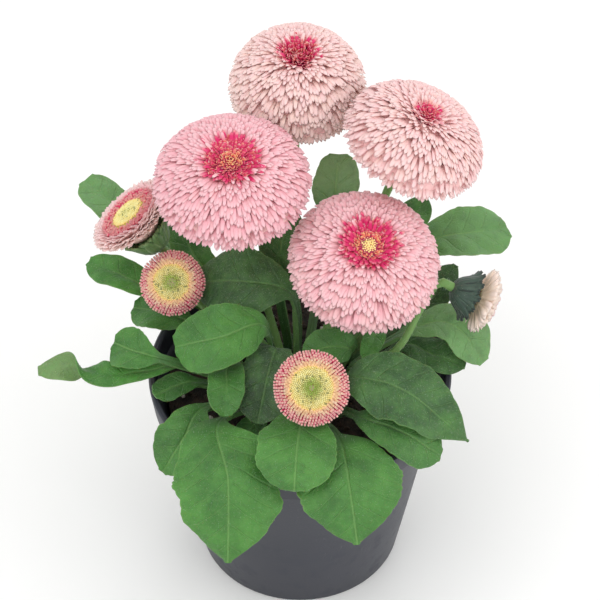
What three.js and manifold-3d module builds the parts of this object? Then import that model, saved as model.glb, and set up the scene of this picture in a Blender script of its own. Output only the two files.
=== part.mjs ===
// A potted English daisy: eight double flower heads on leafless stems above a rosette of
// spoon-shaped leaves, rooted in potting soil in a tapered plastic pot.
// Millimetres, +Z up. The origin is the centre of the pot's underside, and the plant's front is
// at -Y. Places on the plant are written from the centre of the pot's rim: x to the right,
// y to the back, z above the rim.
import * as THREE from "three";
import Module from "manifold-3d";
import { mergeVertices } from "three/addons/utils/BufferGeometryUtils.js";

const wasm = await Module();
wasm.setup();
const { degToRad, lerp, smoothstep } = THREE.MathUtils;

// Pot: a common 11 cm nursery pot with a deep collar.
const POT_HEIGHT = 87;
const RIM_RADIUS = 55;
const BASE_RADIUS = 37.5;
const COLLAR_DEPTH = 11;
const COLLAR_STEP = 4.7;
const WALL = 1.3;
const FLOOR = 1.6;
const DRAIN_HOLES = 8;
const DRAIN_RADIUS = 3;
const DRAIN_CIRCLE = 27;
const DRAIN_SIDES = 10;
const POT_SIDES = 36;

// Soil, and the clearance that each piece keeps to the next.
const SOIL_BELOW_RIM = 9;
const SOIL_RELIEF = 1.4;
const SOIL_SIDES = 28;
const SOIL_RINGS = [41, 33];
const CROWN_RADIUS = 26;
const GAP = 0.3;
const ROOT_DEPTH = 8;
const STALK_RISE = 3;

// Leaves. The rows are shares of the blade from its neck to its tip, and the columns shares of
// its half width.
const LEAF_THICK = 0.9;
const PETIOLE_WIDTH = 3.2;
const PETIOLE_THICK = 1.5;
const WIDE_LEAF = 18;
const WIDE_COLUMNS = [-1, -0.5, 0, 0.5, 1];
const NARROW_COLUMNS = [-1, 0, 1];
const BLADE_ROWS = [0.1, 0.25, 0.42, 0.58, 0.72, 0.84, 0.94, 1];
const SCALLOP = 0.04;
const RIPPLES = 1.6;
const RIPPLE_SHIFT = 1.9;
const TIP_WIDTH = 0.012;

// Stems and the green cup of bracts under each head.
const STEM_RADIUS = 1.6;
const STEM_SIDES = 6;
const STEM_ROWS = 8;
const STRAIGHT_NECK = 6;
const SUNK = 1.5;
const BRACTS = 8;

// Petals, as shares of the head's radius: where the underside starts, how far a tip strays, how
// far the notch stands out of the core, and how much a tip hangs and spreads in its own ring.
const UNDERSIDE = 0.28;
const TIP_STRAY = 0.035;
const NOTCH = 0.05;
const TIP_HANG = 0.2;
const TIP_SPREAD = 0.13;
const TOP_TIER = 1.18;
const TUFT_TIERS = 2;

const COLOURS = {
  pot: "#3b3d43",
  soil: "#2b211a",
  leaf: "#3f8230",
  stem: "#5c8c3f",
  pink: "#eeb0b8",
  crimson: "#cf2f62",
  yellow: "#e9d36a",
  cream: "#efc79c",
};

const up = new THREE.Vector3(0, 0, 1);
const fullTurn = 2 * Math.PI;

// The leaves, each from its root in the soil along its midrib to the tip. `width` is the widest
// part of the blade and `neck` the share of the length that is stalk. `roll` tips the blade
// sideways and `twist` turns its end over, in degrees. `cup` lifts the edges and `wave` ripples
// them, as shares of the width. `blunt` is small for a round end and large for a pointed one.
const LEAVES = [
  {
    name: "front_left_leaf",
    root: [-13, -14],
    path: [[-29, -34, 8], [-25, -58, 6], [-25, -77, -17]],
    width: 39, neck: 0.38, roll: -2, blunt: 0.95, cup: -0.06, wave: 0.05,
  },
  {
    name: "left_front_leaf",
    root: [-16, -12],
    path: [[-35, -23, 4], [-41, -37, 4], [-49, -43, -8]],
    width: 18.5, neck: 0.48, roll: -10, cup: 0.1, wave: 0.05,
  },
  {
    name: "front_leaf",
    root: [-1, -14],
    path: [[1, -26, 9], [-1, -49, 13], [-2, -65, 8]],
    width: 28.5, neck: 0.42, blunt: 0.45, cup: 0.06, wave: 0.02,
  },
  {
    name: "front_right_leaf",
    root: [6, -19],
    path: [[14, -38, 4], [17, -57, 3], [20, -72, -13]],
    width: 38, neck: 0.4, blunt: 0.95, cup: -0.04, wave: 0.04,
  },
  {
    name: "right_front_leaf",
    root: [12, -9],
    path: [[19, -21, 18], [35, -26, 18], [60, -36, 1]],
    width: 26, neck: 0.36, roll: 20, blunt: 1.15, cup: -0.08, wave: 0.08,
  },
  {
    name: "right_low_leaf",
    root: [14, -15],
    path: [[22, -31, 8], [36, -37, 7], [50, -40, -2]],
    width: 21, neck: 0.44, roll: 10, blunt: 0.5, wave: 0.04,
  },
  {
    name: "right_bent_leaf",
    root: [17, 6],
    path: [[44, 10, 13], [56, 10, 13], [67, 0, 4]],
    width: 18, neck: 0.45, roll: 10, blunt: 0.5, wave: 0.05,
  },
  {
    name: "right_under_leaf",
    root: [21, 2],
    path: [[38, 10, 3], [50, 3, 4], [60, 0, 2]],
    width: 14, neck: 0.45, roll: 10, wave: 0.04,
  },
  {
    name: "right_back_leaf",
    root: [14, 11],
    path: [[46, 46, 19], [62, 49, 22], [77, 55, 19]],
    width: 22, neck: 0.5, roll: 10, blunt: 0.35, wave: 0.04,
  },
  {
    name: "right_back_small_leaf",
    root: [9, 15],
    path: [[37, 49, 24], [43, 55, 27], [46, 60, 30]],
    width: 14, neck: 0.6, wave: 0.04,
  },
  {
    name: "right_dark_leaf",
    root: [18, 10],
    path: [[47, 26, 8], [52, 31, 14], [57, 36, 18]],
    width: 13, neck: 0.5, wave: 0.04,
  },
  {
    name: "left_dark_leaf",
    root: [0, 7],
    path: [[-3, 13, 26], [-20, 15, 30], [-39, 24, 21]],
    width: 26, neck: 0.48, roll: -30, blunt: 0.7, cup: -0.1, wave: 0.04,
  },
  {
    name: "left_bright_leaf",
    root: [-9, -1],
    path: [[-13, -1, 24], [-29, -9, 26], [-45, -6, 18]],
    width: 25, neck: 0.44, roll: -20, blunt: 0.5, cup: -0.05, wave: 0.05,
  },
  {
    name: "left_back_leaf",
    root: [-14, 16],
    path: [[-48, 52, 10], [-59, 55, 18], [-70, 59, 28], [-80, 68, 31]],
    width: 18, neck: 0.57, blunt: 0.4,
  },
  {
    name: "left_outer_leaf",
    root: [-17, 11],
    path: [[-36, 29, 4], [-45, 26, 9.5], [-55, 27, 15], [-67, 31, 19], [-78, 38, 18]],
    width: 14, neck: 0.58, roll: -10, blunt: 0.5,
  },
  {
    name: "left_under_button_leaf",
    root: [-20, 5],
    path: [[-41, 21, 3], [-52, 25, 5], [-62, 30, 2]],
    width: 17, neck: 0.57, roll: -15, blunt: 0.5,
  },
  {
    name: "left_twisted_leaf",
    root: [-18, 2],
    path: [[-39, -2, 7], [-54, -9, 9], [-69, -11, 9], [-80, -6, 8], [-94, -7, 6]],
    width: 11.5, neck: 0.42, roll: -10, twist: 180, blunt: 0.45, wave: 0.03,
  },
  {
    name: "left_side_leaf",
    root: [-19, -3],
    path: [[-47, -8, 13], [-59, -7, 17], [-67, -1, 15]],
    width: 16.5, neck: 0.7, roll: -25, blunt: 0.45,
  },
  {
    name: "left_low_leaf",
    root: [-20, -8],
    path: [[-37, -7, 1], [-45, -10, 2], [-52, -15, 2]],
    width: 11, neck: 0.58, roll: -10, blunt: 0.5,
  },
  {
    name: "centre_folded_leaf",
    root: [-12, -8],
    path: [[-25, -9, 14], [-26, -24, 15], [-26, -34, 12]],
    width: 13, neck: 0.42, cup: 0.3, blunt: 0.45,
  },
  {
    name: "centre_low_leaf",
    root: [-6, -14],
    path: [[-11, -20, -1], [-18, -29, -1], [-22, -37, -2]],
    width: 10, neck: 0.5, blunt: 0.5,
  },
  {
    name: "centre_dark_leaf",
    root: [-4, -8],
    path: [[-8, -5, 17], [-12, -19, 14], [-15, -33, 7]],
    width: 21, neck: 0.4, blunt: 0.6,
  },
  {
    name: "back_tall_leaf",
    root: [3, 15],
    path: [[11, 46, 30], [13, 51, 43], [14, 61, 50]],
    width: 17, neck: 0.6, blunt: 0.4,
  },
  {
    name: "back_left_leaf",
    root: [-9, 19],
    path: [[-39, 41, 18], [-42, 45, 24], [-47, 52, 28]],
    width: 16, neck: 0.5, blunt: 0.45,
  },
  {
    name: "back_centre_leaf",
    root: [-4.5, 18],
    path: [[-8, 22, 22], [-7, 31, 31], [-4, 44, 38]],
    width: 16, neck: 0.5, blunt: 0.5,
  },
  {
    name: "right_centre_leaf",
    root: [9, -4],
    path: [[19, -3, 13], [11, -4, 16], [1, -4, 12]],
    width: 14, neck: 0.5, roll: -25, blunt: 0.5,
  },
  {
    name: "right_narrow_leaf",
    root: [11, 5],
    path: [[27, 3, 16], [25, -5, 16], [24, -9, 13]],
    width: 8, neck: 0.5, blunt: 0.5,
  },
];

// The flower heads: the middle of the widest ring of petals, the way the face looks, the radius,
// the height of the dome and the width of the eye as shares of it, the root of the stem in the
// soil, and the places that the stem passes.
const HEADS = [
  {
    name: "left_bloom",
    form: "full",
    at: [-24, 26, 68],
    facing: [0, -0.19, 0.98],
    radius: 28.5, dome: 0.58, eye: 0.36,
    root: [-6, 8],
    via: [[-15, 27, 18], [-22, 34, 38]],
  },
  {
    name: "back_bloom",
    form: "full",
    at: [-1, 72, 72],
    facing: [0.03, -0.14, 0.99],
    radius: 25.5, dome: 0.9, eye: 0.34,
    root: [-1, 12],
    via: [[-2, 46, 34]],
  },
  {
    name: "front_bloom",
    form: "full",
    at: [22.5, 8, 46],
    facing: [0.11, -0.33, 0.94],
    radius: 27.5, dome: 0.65, eye: 0.36,
    root: [5, 3],
    via: [[15, 13, 18]],
  },
  {
    name: "right_bloom",
    form: "full",
    at: [40, 42.5, 72],
    facing: [0.35, -0.03, 0.94],
    radius: 26.5, dome: 0.68, eye: 0.26,
    root: [5, 10],
    via: [[25, 37, 32]],
  },
  {
    name: "left_half_open",
    form: "half",
    at: [-60.5, 35.5, 42],
    facing: [-0.6, 0.11, 0.79],
    radius: 17, dome: 0.3, eye: 0.5,
    root: [-9, 10],
    via: [[-22, 20, 6], [-40, 30, 22]],
  },
  {
    name: "left_button",
    form: "button",
    at: [-46, 19, 25],
    facing: [-0.11, -0.64, 0.76],
    radius: 12, dome: 0.42, eye: 0.6,
    root: [-9, 4],
    via: [[-29, 15, 10]],
  },
  {
    name: "front_button",
    form: "button",
    at: [4, -33, 25],
    facing: [0.03, -0.66, 0.74],
    radius: 13.5, dome: 0.42, eye: 0.62,
    root: [2, -5],
    via: [],
  },
  {
    name: "side_bloom",
    form: "bud",
    at: [66, 7.5, 27],
    facing: [0.89, -0.08, -0.45],
    radius: 12, dome: 0.3, eye: 0.4,
    root: [13, -2],
    via: [[35, -3, 14], [43, 5, 26]],
  },
];

// What the kinds of head have of their own. `tiers` counts the points across one petal and the
// notch beside it in each ring from the outside in, `droop` is how far below the widest ring the
// first tips hang in degrees, `core` the share of the radius that the lowest and the highest
// petals grow from, `foot` the depth of the underside, `tuft` the spikes of the eye, and `cup`
// the depth of the cup in millimetres and the share of the radius that its bracts reach.
const FORMS = {
  full: {
    columns: 60, tiers: [2, 3, 3, 3], droop: 8, core: [0.66, 0.84],
    foot: 0.26, tuft: 11, cup: [5, 0.46], petals: "pink", heart: "crimson",
  },
  button: {
    columns: 44, tiers: [2, 2], droop: 8, core: [0.72, 0.8],
    foot: 0.4, tuft: 14, cup: [5, 0.46], petals: "crimson", heart: "yellow",
  },
  half: {
    columns: 44, tiers: [2, 2], droop: 0, core: [0.76, 0.78],
    foot: 0.55, tuft: 12, cup: [6, 0.6], petals: "pink", heart: "yellow",
  },
  bud: {
    columns: 40, tiers: [2, 2], droop: -8, core: [0.68, 0.78],
    foot: 0.35, tuft: 9, cup: [8, 0.85], petals: "cream", heart: "yellow",
  },
};

// A steady stream of draws between -1 and 1.
function draws(seed) {
  let state = Math.imul(seed, 2654435761);
  return () => {
    state = (Math.imul(state, 1664525) + 1013904223) >>> 0;
    return (state / 2 ** 32) * 2 - 1;
  };
}

// From the rim's centre to the part's own frame.
function place(x, y, z) {
  return new THREE.Vector3(x, y, POT_HEIGHT + z);
}

// A closed skin through rings with equal numbers of points, counter-clockwise about the way the
// rings go, with a fan to a point at each end. `turned` says which columns split the other way.
function skin(rings, first, last, turned = () => false) {
  const n = rings[0].length;
  const points = [...rings.flat(), first, last];
  const faces = [];
  for (let i = 0; i + 1 < rings.length; i++)
    for (let j = 0; j < n; j++) {
      const [a, b] = [i * n + j, i * n + ((j + 1) % n)];
      const [d, c] = [a + n, b + n];
      faces.push(...(turned(j) ? [a, b, d, b, c, d] : [a, b, c, a, c, d]));
    }
  const top = (rings.length - 1) * n;
  for (let j = 0; j < n; j++) {
    const next = (j + 1) % n;
    faces.push(points.length - 2, next, j, points.length - 1, top + j, top + next);
  }
  const geometry = new THREE.BufferGeometry().setFromPoints(points);
  geometry.setIndex(faces);
  geometry.computeVertexNormals();
  return geometry;
}

// Between three.js geometry and a solid that can be cut and joined.
function solidOf(geometry) {
  const bare = geometry.clone();
  bare.deleteAttribute("normal");
  bare.deleteAttribute("uv");
  const merged = mergeVertices(bare, 1e-3);
  return new wasm.Manifold(
    new wasm.Mesh({
      numProp: 3,
      vertProperties: new Float32Array(merged.attributes.position.array),
      triVerts: new Uint32Array(merged.index.array),
    }),
  );
}

function geometryOf(solid) {
  const mesh = solid.getMesh();
  const geometry = new THREE.BufferGeometry();
  geometry.setAttribute("position", new THREE.BufferAttribute(mesh.vertProperties, 3));
  geometry.setIndex(new THREE.BufferAttribute(mesh.triVerts, 1));
  geometry.computeVertexNormals();
  return geometry;
}

// The way from one place to another, seen from above.
function leanOf(from, to) {
  return new THREE.Vector3(to.x - from.x, to.y - from.y, 0).normalize();
}

function leafLean({ path }) {
  return leanOf(place(...path[0]), place(...path.at(-1)));
}

// Side, normal and tangent of a growing piece at share s of its curve. The side stays square to
// the way the whole piece leans, so that a blade doesn't twist on its own.
function frameAt(curve, s, lean) {
  const along = curve.getTangentAt(s);
  const side = new THREE.Vector3().crossVectors(lean, up).normalize();
  side.addScaledVector(along, -side.dot(along)).normalize();
  const normal = new THREE.Vector3().crossVectors(side, along);
  return { at: curve.getPointAt(s), along, side, normal };
}

// The middle line of a stalk: straight up out of its hole in the soil, then through the places
// given.
function growthLine(root, points) {
  const surface = place(root[0], root[1], -SOIL_BELOW_RIM);
  const level = (height) => surface.clone().addScaledVector(up, height);
  const line = [level(-ROOT_DEPTH), surface, level(STALK_RISE), ...points];
  return new THREE.CatmullRomCurve3(line, false, "centripetal");
}

// The share of a stalk's curve at which it has left the soil.
function risenShare(curve) {
  return (ROOT_DEPTH + STALK_RISE) / curve.getLength();
}

// Half the blade's width at share v from the neck to the tip, for a blade one wide.
function spoon(v, blunt) {
  const broadest = 1 / (1 + blunt);
  const peak = broadest * (1 - broadest) ** blunt;
  return (0.5 * v * Math.max(1 - v, TIP_WIDTH) ** blunt) / peak;
}

// A blade and its stalk as one skin: the upper face's columns, then the lower face's back again.
function leafGeometry(leaf, seed) {
  const { root, path, width, neck, roll = 0, twist = 0, cup = 0, wave = 0.04, blunt = 0.6 } = leaf;
  const curve = growthLine(root, path.map((point) => place(...point)));
  const lean = leafLean(leaf);
  const phase = draws(seed)() * Math.PI;
  const columns = width > WIDE_LEAF ? WIDE_COLUMNS : NARROW_COLUMNS;

  const section = (s, v) => {
    const { at, along, side, normal } = frameAt(curve, s, lean);
    const rolled = roll * smoothstep(s, neck * 0.4, neck + 0.2);
    const turn = degToRad(rolled + twist * smoothstep(v, 0.56, 0.9));
    side.applyAxisAngle(along, turn);
    normal.applyAxisAngle(along, turn);
    const blade = smoothstep(v, 0, 0.3);
    const scallop = 1 + SCALLOP * (BLADE_ROWS.indexOf(v) % 2 ? 1 : -1) * blade;
    const half = Math.hypot((PETIOLE_WIDTH / 2) * (1 - v), width * spoon(v, blunt));
    const thick = lerp(PETIOLE_THICK, LEAF_THICK, blade);
    const point = (u, below) => {
      const ripple = Math.sin(fullTurn * RIPPLES * v + phase + (u > 0 ? RIPPLE_SHIFT : 0));
      const lift = (cup * half + wave * width * ripple) * u * u * blade;
      const reach = u * half * (Math.abs(u) === 1 ? scallop : 1);
      const middle = at.clone().addScaledVector(side, reach);
      return middle.addScaledVector(normal, lift - (below ? thick : 0));
    };
    const upper = columns.map((u) => point(u, false));
    return [...upper, ...columns.map((u) => point(u, true)).reverse()];
  };

  const risen = risenShare(curve);
  const rings = [
    ...[0, risen, (risen + neck) / 2].map((s) => section(s, 0)),
    ...BLADE_ROWS.map((v) => section(neck + (1 - neck) * v, v)),
  ];
  const n = columns.length;
  const centre = (n - 1) / 2;
  const middleOf = (ring) => ring[centre].clone().add(ring[n + centre]).multiplyScalar(0.5);
  return skin(rings, middleOf(rings[0]), middleOf(rings.at(-1)), (j) => j >= n && j < 2 * n - 1);
}

// One point of a ring about the head's own axis.
function polar(radius, turn, z) {
  return new THREE.Vector3(radius * Math.cos(turn), radius * Math.sin(turn), z);
}

function ringOf(n, make) {
  return Array.from({ length: n }, (_, j) => make(j, (fullTurn * j) / n));
}

function onAxis(z) {
  return new THREE.Vector3(0, 0, z);
}

// The height of the flat place in the middle of the petals, which the eye sits on.
function seatOf(head, form) {
  const top = form.core[1];
  return top * head.dome * head.radius * Math.sqrt(1 - (head.eye / top) ** 2);
}

// The petals of one head, ring upon ring: a single skin that runs out along each petal to its
// tip and back into the notch beside it. Every ring stands a step round from the one below.
function petalsGeometry(head, form, seed) {
  const { columns, tiers, droop } = form;
  const { radius, eye } = head;
  const height = head.dome * radius;
  const random = draws(seed);
  const lowest = -degToRad(droop);
  const step = (Math.acos(eye * TOP_TIER) - lowest) / (tiers.length - 1);
  const shell = (level, share, turn) =>
    polar(share * radius * Math.cos(level), turn, share * height * Math.sin(level));

  const foot = -form.foot * radius;
  const rings = [ringOf(columns, (j, turn) => polar(UNDERSIDE * radius, turn, foot))];
  tiers.forEach((width, k) => {
    const level = lowest + k * step;
    const core = lerp(...form.core, k / (tiers.length - 1));
    rings.push(ringOf(columns, (j, turn) => shell(level - step / 2, core, turn)));
    let reach = 1;
    rings.push(
      ringOf(columns, (j, turn) => {
        const across = (j + k) % width;
        if (across === 0) reach = 1 + TIP_STRAY * random();
        if (across === width - 1) return shell(level, core + NOTCH, turn);
        const spread = width === 3 ? TIP_SPREAD * (fullTurn / columns) : 0;
        return shell(level - step * TIP_HANG, reach, turn + (across === 0 ? -spread : spread));
      }),
    );
  });
  const seat = seatOf(head, form);
  rings.push(ringOf(columns, (j, turn) => polar(eye * radius, turn, seat)));
  return skin(rings, onAxis(foot), onAxis(seat));
}

// The short florets in the middle of a head: a cushion of spikes on the seat, in rings that
// climb to the middle.
function tuftGeometry(head, form, seed) {
  const radius = head.eye * head.radius - 2 * GAP;
  const bottom = seatOf(head, form) + GAP;
  const tall = Math.max(0.97 * head.dome * head.radius - bottom, 2.5);
  const random = draws(seed);
  const columns = 2 * form.tuft;
  const rings = [ringOf(columns, (j, turn) => polar(radius * 0.8, turn, bottom))];
  for (let k = 0; k < TUFT_TIERS; k++) {
    const outer = radius * (1 - k / TUFT_TIERS);
    const inner = radius * (1 - (k + 0.5) / TUFT_TIERS) * 0.9;
    const top = bottom + tall * (0.62 + 0.38 * Math.sqrt(k / TUFT_TIERS));
    rings.push(
      ringOf(columns, (j, turn) => {
        const spike = (j + k) % 2 === 0;
        const below = tall * (spike ? 0.08 * (1 + random()) : 0.3);
        return polar(outer * (spike ? 1 : 0.84), turn, top - below);
      }),
      ringOf(columns, (j, turn) => polar(inner, turn, top - tall * 0.22)),
    );
  }
  return skin(rings, onAxis(bottom), onAxis(bottom + tall * 0.8));
}

// The green cup that holds the petals, ringed with pointed bracts.
function cupGeometry(head, form) {
  const [depth, flare] = form.cup;
  const reach = flare * head.radius;
  const top = -form.foot * head.radius - GAP;
  const cupRing = (make) => ringOf(2 * BRACTS, make);
  const bract = (j, turn) =>
    j % 2 === 0 ? polar(reach, turn, top) : polar(0.65 * reach, turn, top - depth * 0.25);
  const rings = [
    cupRing((j, turn) => polar(STEM_RADIUS * 1.5, turn, top - depth)),
    cupRing((j, turn) => polar(0.52 * reach, turn, top - depth * 0.6)),
    cupRing(bract),
    cupRing((j, turn) => polar(0.5 * reach, turn, top)),
  ];
  return skin(rings, onAxis(top - depth), onAxis(top));
}

// Turns a head's own frame, z along its axis, to where the head stands.
function headMatrix(head) {
  const facing = new THREE.Vector3(...head.facing).normalize();
  const turn = new THREE.Quaternion().setFromUnitVectors(up, facing);
  return new THREE.Matrix4().compose(place(...head.at), turn, new THREE.Vector3(1, 1, 1));
}

// A stem from its hole in the soil to the cup, joined with the cup as they grew.
function stemGeometry(head, form) {
  const matrix = headMatrix(head);
  const cupBottom = -form.foot * head.radius - GAP - form.cup[0];
  const below = onAxis(cupBottom - STRAIGHT_NECK).applyMatrix4(matrix);
  const end = onAxis(cupBottom + SUNK).applyMatrix4(matrix);
  const curve = growthLine(head.root, [...head.via.map((point) => place(...point)), below, end]);
  const lean = leanOf(curve.points[0], end);
  const section = (s) => {
    const { at, side, normal } = frameAt(curve, s, lean);
    return ringOf(STEM_SIDES, (j, turn) => {
      const point = at.clone().addScaledVector(normal, STEM_RADIUS * Math.cos(turn));
      return point.addScaledVector(side, STEM_RADIUS * Math.sin(turn));
    });
  };
  const risen = risenShare(curve);
  const rings = [section(0)];
  for (let i = 0; i < STEM_ROWS; i++) rings.push(section(lerp(risen, 1, i / (STEM_ROWS - 1))));
  const stem = solidOf(skin(rings, curve.points[0], end));
  return geometryOf(stem.add(solidOf(cupGeometry(head, form).applyMatrix4(matrix))));
}

// The outside of the pot's wall at height z, below the collar.
function wallRadius(z) {
  return lerp(BASE_RADIUS, RIM_RADIUS - COLLAR_STEP, z / (POT_HEIGHT - COLLAR_DEPTH));
}

// The pot: a tapered wall, a step out to the collar, a rounded lip, and a floor with drain holes.
function potGeometry() {
  const collar = POT_HEIGHT - COLLAR_DEPTH;
  const profile = [
    [0, 0],
    [BASE_RADIUS - 1, 0],
    [BASE_RADIUS, 1],
    [wallRadius(collar), collar],
    [RIM_RADIUS - 1.2, collar + 0.6],
    [RIM_RADIUS, POT_HEIGHT - 0.8],
    [RIM_RADIUS - 0.6, POT_HEIGHT],
    [RIM_RADIUS - 2 * WALL, POT_HEIGHT],
    [RIM_RADIUS - 1.2 - 1.6 * WALL, collar + 2],
    [wallRadius(collar) - WALL, collar - 1],
    [wallRadius(FLOOR) - WALL, FLOOR],
    [0, FLOOR],
  ].map(([r, z]) => new THREE.Vector2(r, z));
  let pot = solidOf(new THREE.LatheGeometry(profile, POT_SIDES).rotateX(Math.PI / 2));
  const drill = new THREE.CylinderGeometry(DRAIN_RADIUS, DRAIN_RADIUS, 4 * FLOOR, DRAIN_SIDES);
  drill.rotateX(Math.PI / 2);
  for (let i = 0; i < DRAIN_HOLES; i++) {
    const centre = polar(DRAIN_CIRCLE, (fullTurn * (i + 0.5)) / DRAIN_HOLES, FLOOR / 2);
    pot = pot.subtract(solidOf(drill.clone().translate(...centre.toArray())));
  }
  return geometryOf(pot);
}

// The soil fills the pot to just below the rim. It is lumpy outside the crown, and has a plain
// hole for every stem and leaf stalk.
function soilGeometry() {
  const random = draws(11);
  const top = POT_HEIGHT - SOIL_BELOW_RIM;
  const collar = POT_HEIGHT - COLLAR_DEPTH;
  const clear = WALL + GAP + 0.4;
  const inside = wallRadius(collar) - clear;
  const flat = (radius, z) => ringOf(SOIL_SIDES, (j, turn) => polar(radius, turn, z));
  const lumpy = (radius) =>
    ringOf(SOIL_SIDES, (j, turn) => polar(radius, turn, top + SOIL_RELIEF * random()));
  const rings = [
    flat(wallRadius(0) - clear, FLOOR + GAP),
    flat(inside, collar - 2),
    ...[inside, ...SOIL_RINGS].map(lumpy),
    flat(CROWN_RADIUS, top),
  ];
  let soil = solidOf(skin(rings, onAxis(FLOOR + GAP), onAxis(top)));
  const deep = 2 * ROOT_DEPTH;
  const middle = top - ROOT_DEPTH - GAP + deep / 2;
  for (const leaf of LEAVES) {
    const lean = leafLean(leaf);
    const slot = new THREE.BoxGeometry(PETIOLE_THICK + 2 * GAP, PETIOLE_WIDTH + 2 * GAP, deep);
    slot.translate(PETIOLE_THICK / 2, 0, 0);
    slot.rotateZ(Math.atan2(lean.y, lean.x));
    slot.translate(...leaf.root, middle);
    soil = soil.subtract(solidOf(slot));
  }
  const bore = STEM_RADIUS + 2 * GAP;
  for (const head of HEADS) {
    const hole = new THREE.CylinderGeometry(bore, bore, deep, STEM_SIDES).rotateX(Math.PI / 2);
    soil = soil.subtract(solidOf(hole.translate(...head.root, middle)));
  }
  return geometryOf(soil);
}

const plant = new THREE.Group();

function piece(name, geometry, colour, roughness) {
  const material = new THREE.MeshStandardMaterial({ color: COLOURS[colour], roughness, metalness: 0 });
  const mesh = new THREE.Mesh(geometry, material);
  mesh.name = name;
  plant.add(mesh);
}

piece("pot", potGeometry(), "pot", 0.55);
piece("soil", soilGeometry(), "soil", 1);
LEAVES.forEach((leaf, i) => piece(leaf.name, leafGeometry(leaf, 101 + i), "leaf", 0.5));
HEADS.forEach((head, i) => {
  const form = FORMS[head.form];
  const matrix = headMatrix(head);
  const petals = petalsGeometry(head, form, 201 + i).applyMatrix4(matrix);
  const heart = tuftGeometry(head, form, 301 + i).applyMatrix4(matrix);
  piece(`${head.name}_petals`, petals, form.petals, 0.7);
  piece(`${head.name}_heart`, heart, form.heart, 0.8);
  piece(`${head.name}_stem`, stemGeometry(head, form), "stem", 0.6);
});

export default plant;
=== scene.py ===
# %% [markdown]
# A potted English daisy, in Blender. The plant is a rosette of spoon-shaped leaves with eight
# double flower heads on bare stems, in a dark plastic nursery pot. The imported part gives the
# frame: where each leaf, head and stem is. This lesson puts a finer piece in the place of each.

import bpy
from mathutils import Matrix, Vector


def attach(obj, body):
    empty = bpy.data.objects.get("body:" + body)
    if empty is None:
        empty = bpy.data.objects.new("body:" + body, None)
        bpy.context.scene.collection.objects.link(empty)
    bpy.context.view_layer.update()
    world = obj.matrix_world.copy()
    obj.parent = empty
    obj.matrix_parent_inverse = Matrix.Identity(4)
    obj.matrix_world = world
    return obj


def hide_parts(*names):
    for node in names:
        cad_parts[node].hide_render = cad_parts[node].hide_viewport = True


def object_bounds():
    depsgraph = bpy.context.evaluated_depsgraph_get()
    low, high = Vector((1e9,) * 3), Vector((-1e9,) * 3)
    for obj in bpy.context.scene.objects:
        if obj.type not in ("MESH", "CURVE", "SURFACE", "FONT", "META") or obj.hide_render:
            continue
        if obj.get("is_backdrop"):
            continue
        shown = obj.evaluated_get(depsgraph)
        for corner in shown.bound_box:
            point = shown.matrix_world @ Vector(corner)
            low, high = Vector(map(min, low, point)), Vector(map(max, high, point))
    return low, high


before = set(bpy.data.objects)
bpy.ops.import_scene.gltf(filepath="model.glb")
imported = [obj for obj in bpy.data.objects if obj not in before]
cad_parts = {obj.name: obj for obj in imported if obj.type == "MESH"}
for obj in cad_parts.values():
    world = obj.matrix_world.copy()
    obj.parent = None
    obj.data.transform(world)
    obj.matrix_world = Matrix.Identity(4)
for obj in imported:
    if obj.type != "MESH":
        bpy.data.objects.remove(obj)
cad_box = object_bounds()
print("solids in the frame:", len(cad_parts))

# %% [markdown]
# All lengths below are millimetres, as on the real plant, and become metres only when a mesh is
# written. Places on the plant are written from the centre of the pot's rim: x to the right, y to
# the back, z above the rim.

# %% Units and the height of the rim
import math
import random

import bmesh
import bpy
import numpy as np
from mathutils import Matrix, Vector, noise

MM = 0.001
POT_HEIGHT = 87
UP = np.array((0.0, 0.0, 1.0))
FULL_TURN = 2 * math.pi


def place(x, y, z):
    return np.array((x, y, POT_HEIGHT + z), float)


print("rim height:", POT_HEIGHT, "mm")

# %% [markdown]
# The camera looks down at the plant from the front, at 45 degrees, from a metre away. A long lens
# keeps the pot's sides nearly parallel. It comes first, so that every later look is through it.

# %% Camera
AIM = (0.0, 0.0182, 0.1042)
FAR = 1.0
ELEVATION = math.radians(45)
LENS = 165.3
SENSOR = 36

bpy.ops.object.select_all(action="DESELECT")
spot = (AIM[0], AIM[1] - FAR * math.cos(ELEVATION), AIM[2] + FAR * math.sin(ELEVATION))
bpy.ops.object.camera_add(location=spot, rotation=(math.pi / 2 - ELEVATION, 0, 0))
camera = bpy.context.object
camera.name = "studio_camera"
camera.data.lens = LENS
camera.data.sensor_width = SENSOR
bpy.context.scene.camera = camera
print("camera at", [round(v, 3) for v in spot])

# %% [markdown]
# Pale petals and a dark pot both need soft light. A large lamp above the left shoulder shapes the
# heads, a weaker one on the right opens the shade under the leaves, and a white sky fills the
# rest. The floor is one plain pale sheet.

# %% Lights and floor
SKY_STRENGTH = 0.93
FLOOR_SIZE = 6


def lamp(name, energy, size, location):
    bpy.ops.object.light_add(type="AREA", location=location)
    light = bpy.context.object
    light.name = name
    light.data.energy = energy
    light.data.size = size
    aim = Vector(AIM) - Vector(location)
    light.rotation_euler = aim.to_track_quat("-Z", "Y").to_euler()
    return light


lamp("key_lamp", 3.8, 1.0, (-0.45, -0.55, 1.2))
lamp("fill_lamp", 2.0, 0.7, (0.8, -0.45, 0.6))
lamp("rim_lamp", 1.6, 0.6, (0.35, 0.95, 0.85))

sky = bpy.data.worlds.new("white_sky")
sky.use_nodes = True
sky.node_tree.nodes["Background"].inputs["Color"].default_value = (1, 1, 1, 1)
sky.node_tree.nodes["Background"].inputs["Strength"].default_value = SKY_STRENGTH
bpy.context.scene.world = sky
bpy.context.scene.view_settings.view_transform = "Standard"

bpy.ops.mesh.primitive_plane_add(size=FLOOR_SIZE, location=(0, 0, 0))
floor = bpy.context.object
floor.name = "studio_floor"
floor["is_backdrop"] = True
print("lamps and floor are up")

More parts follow.
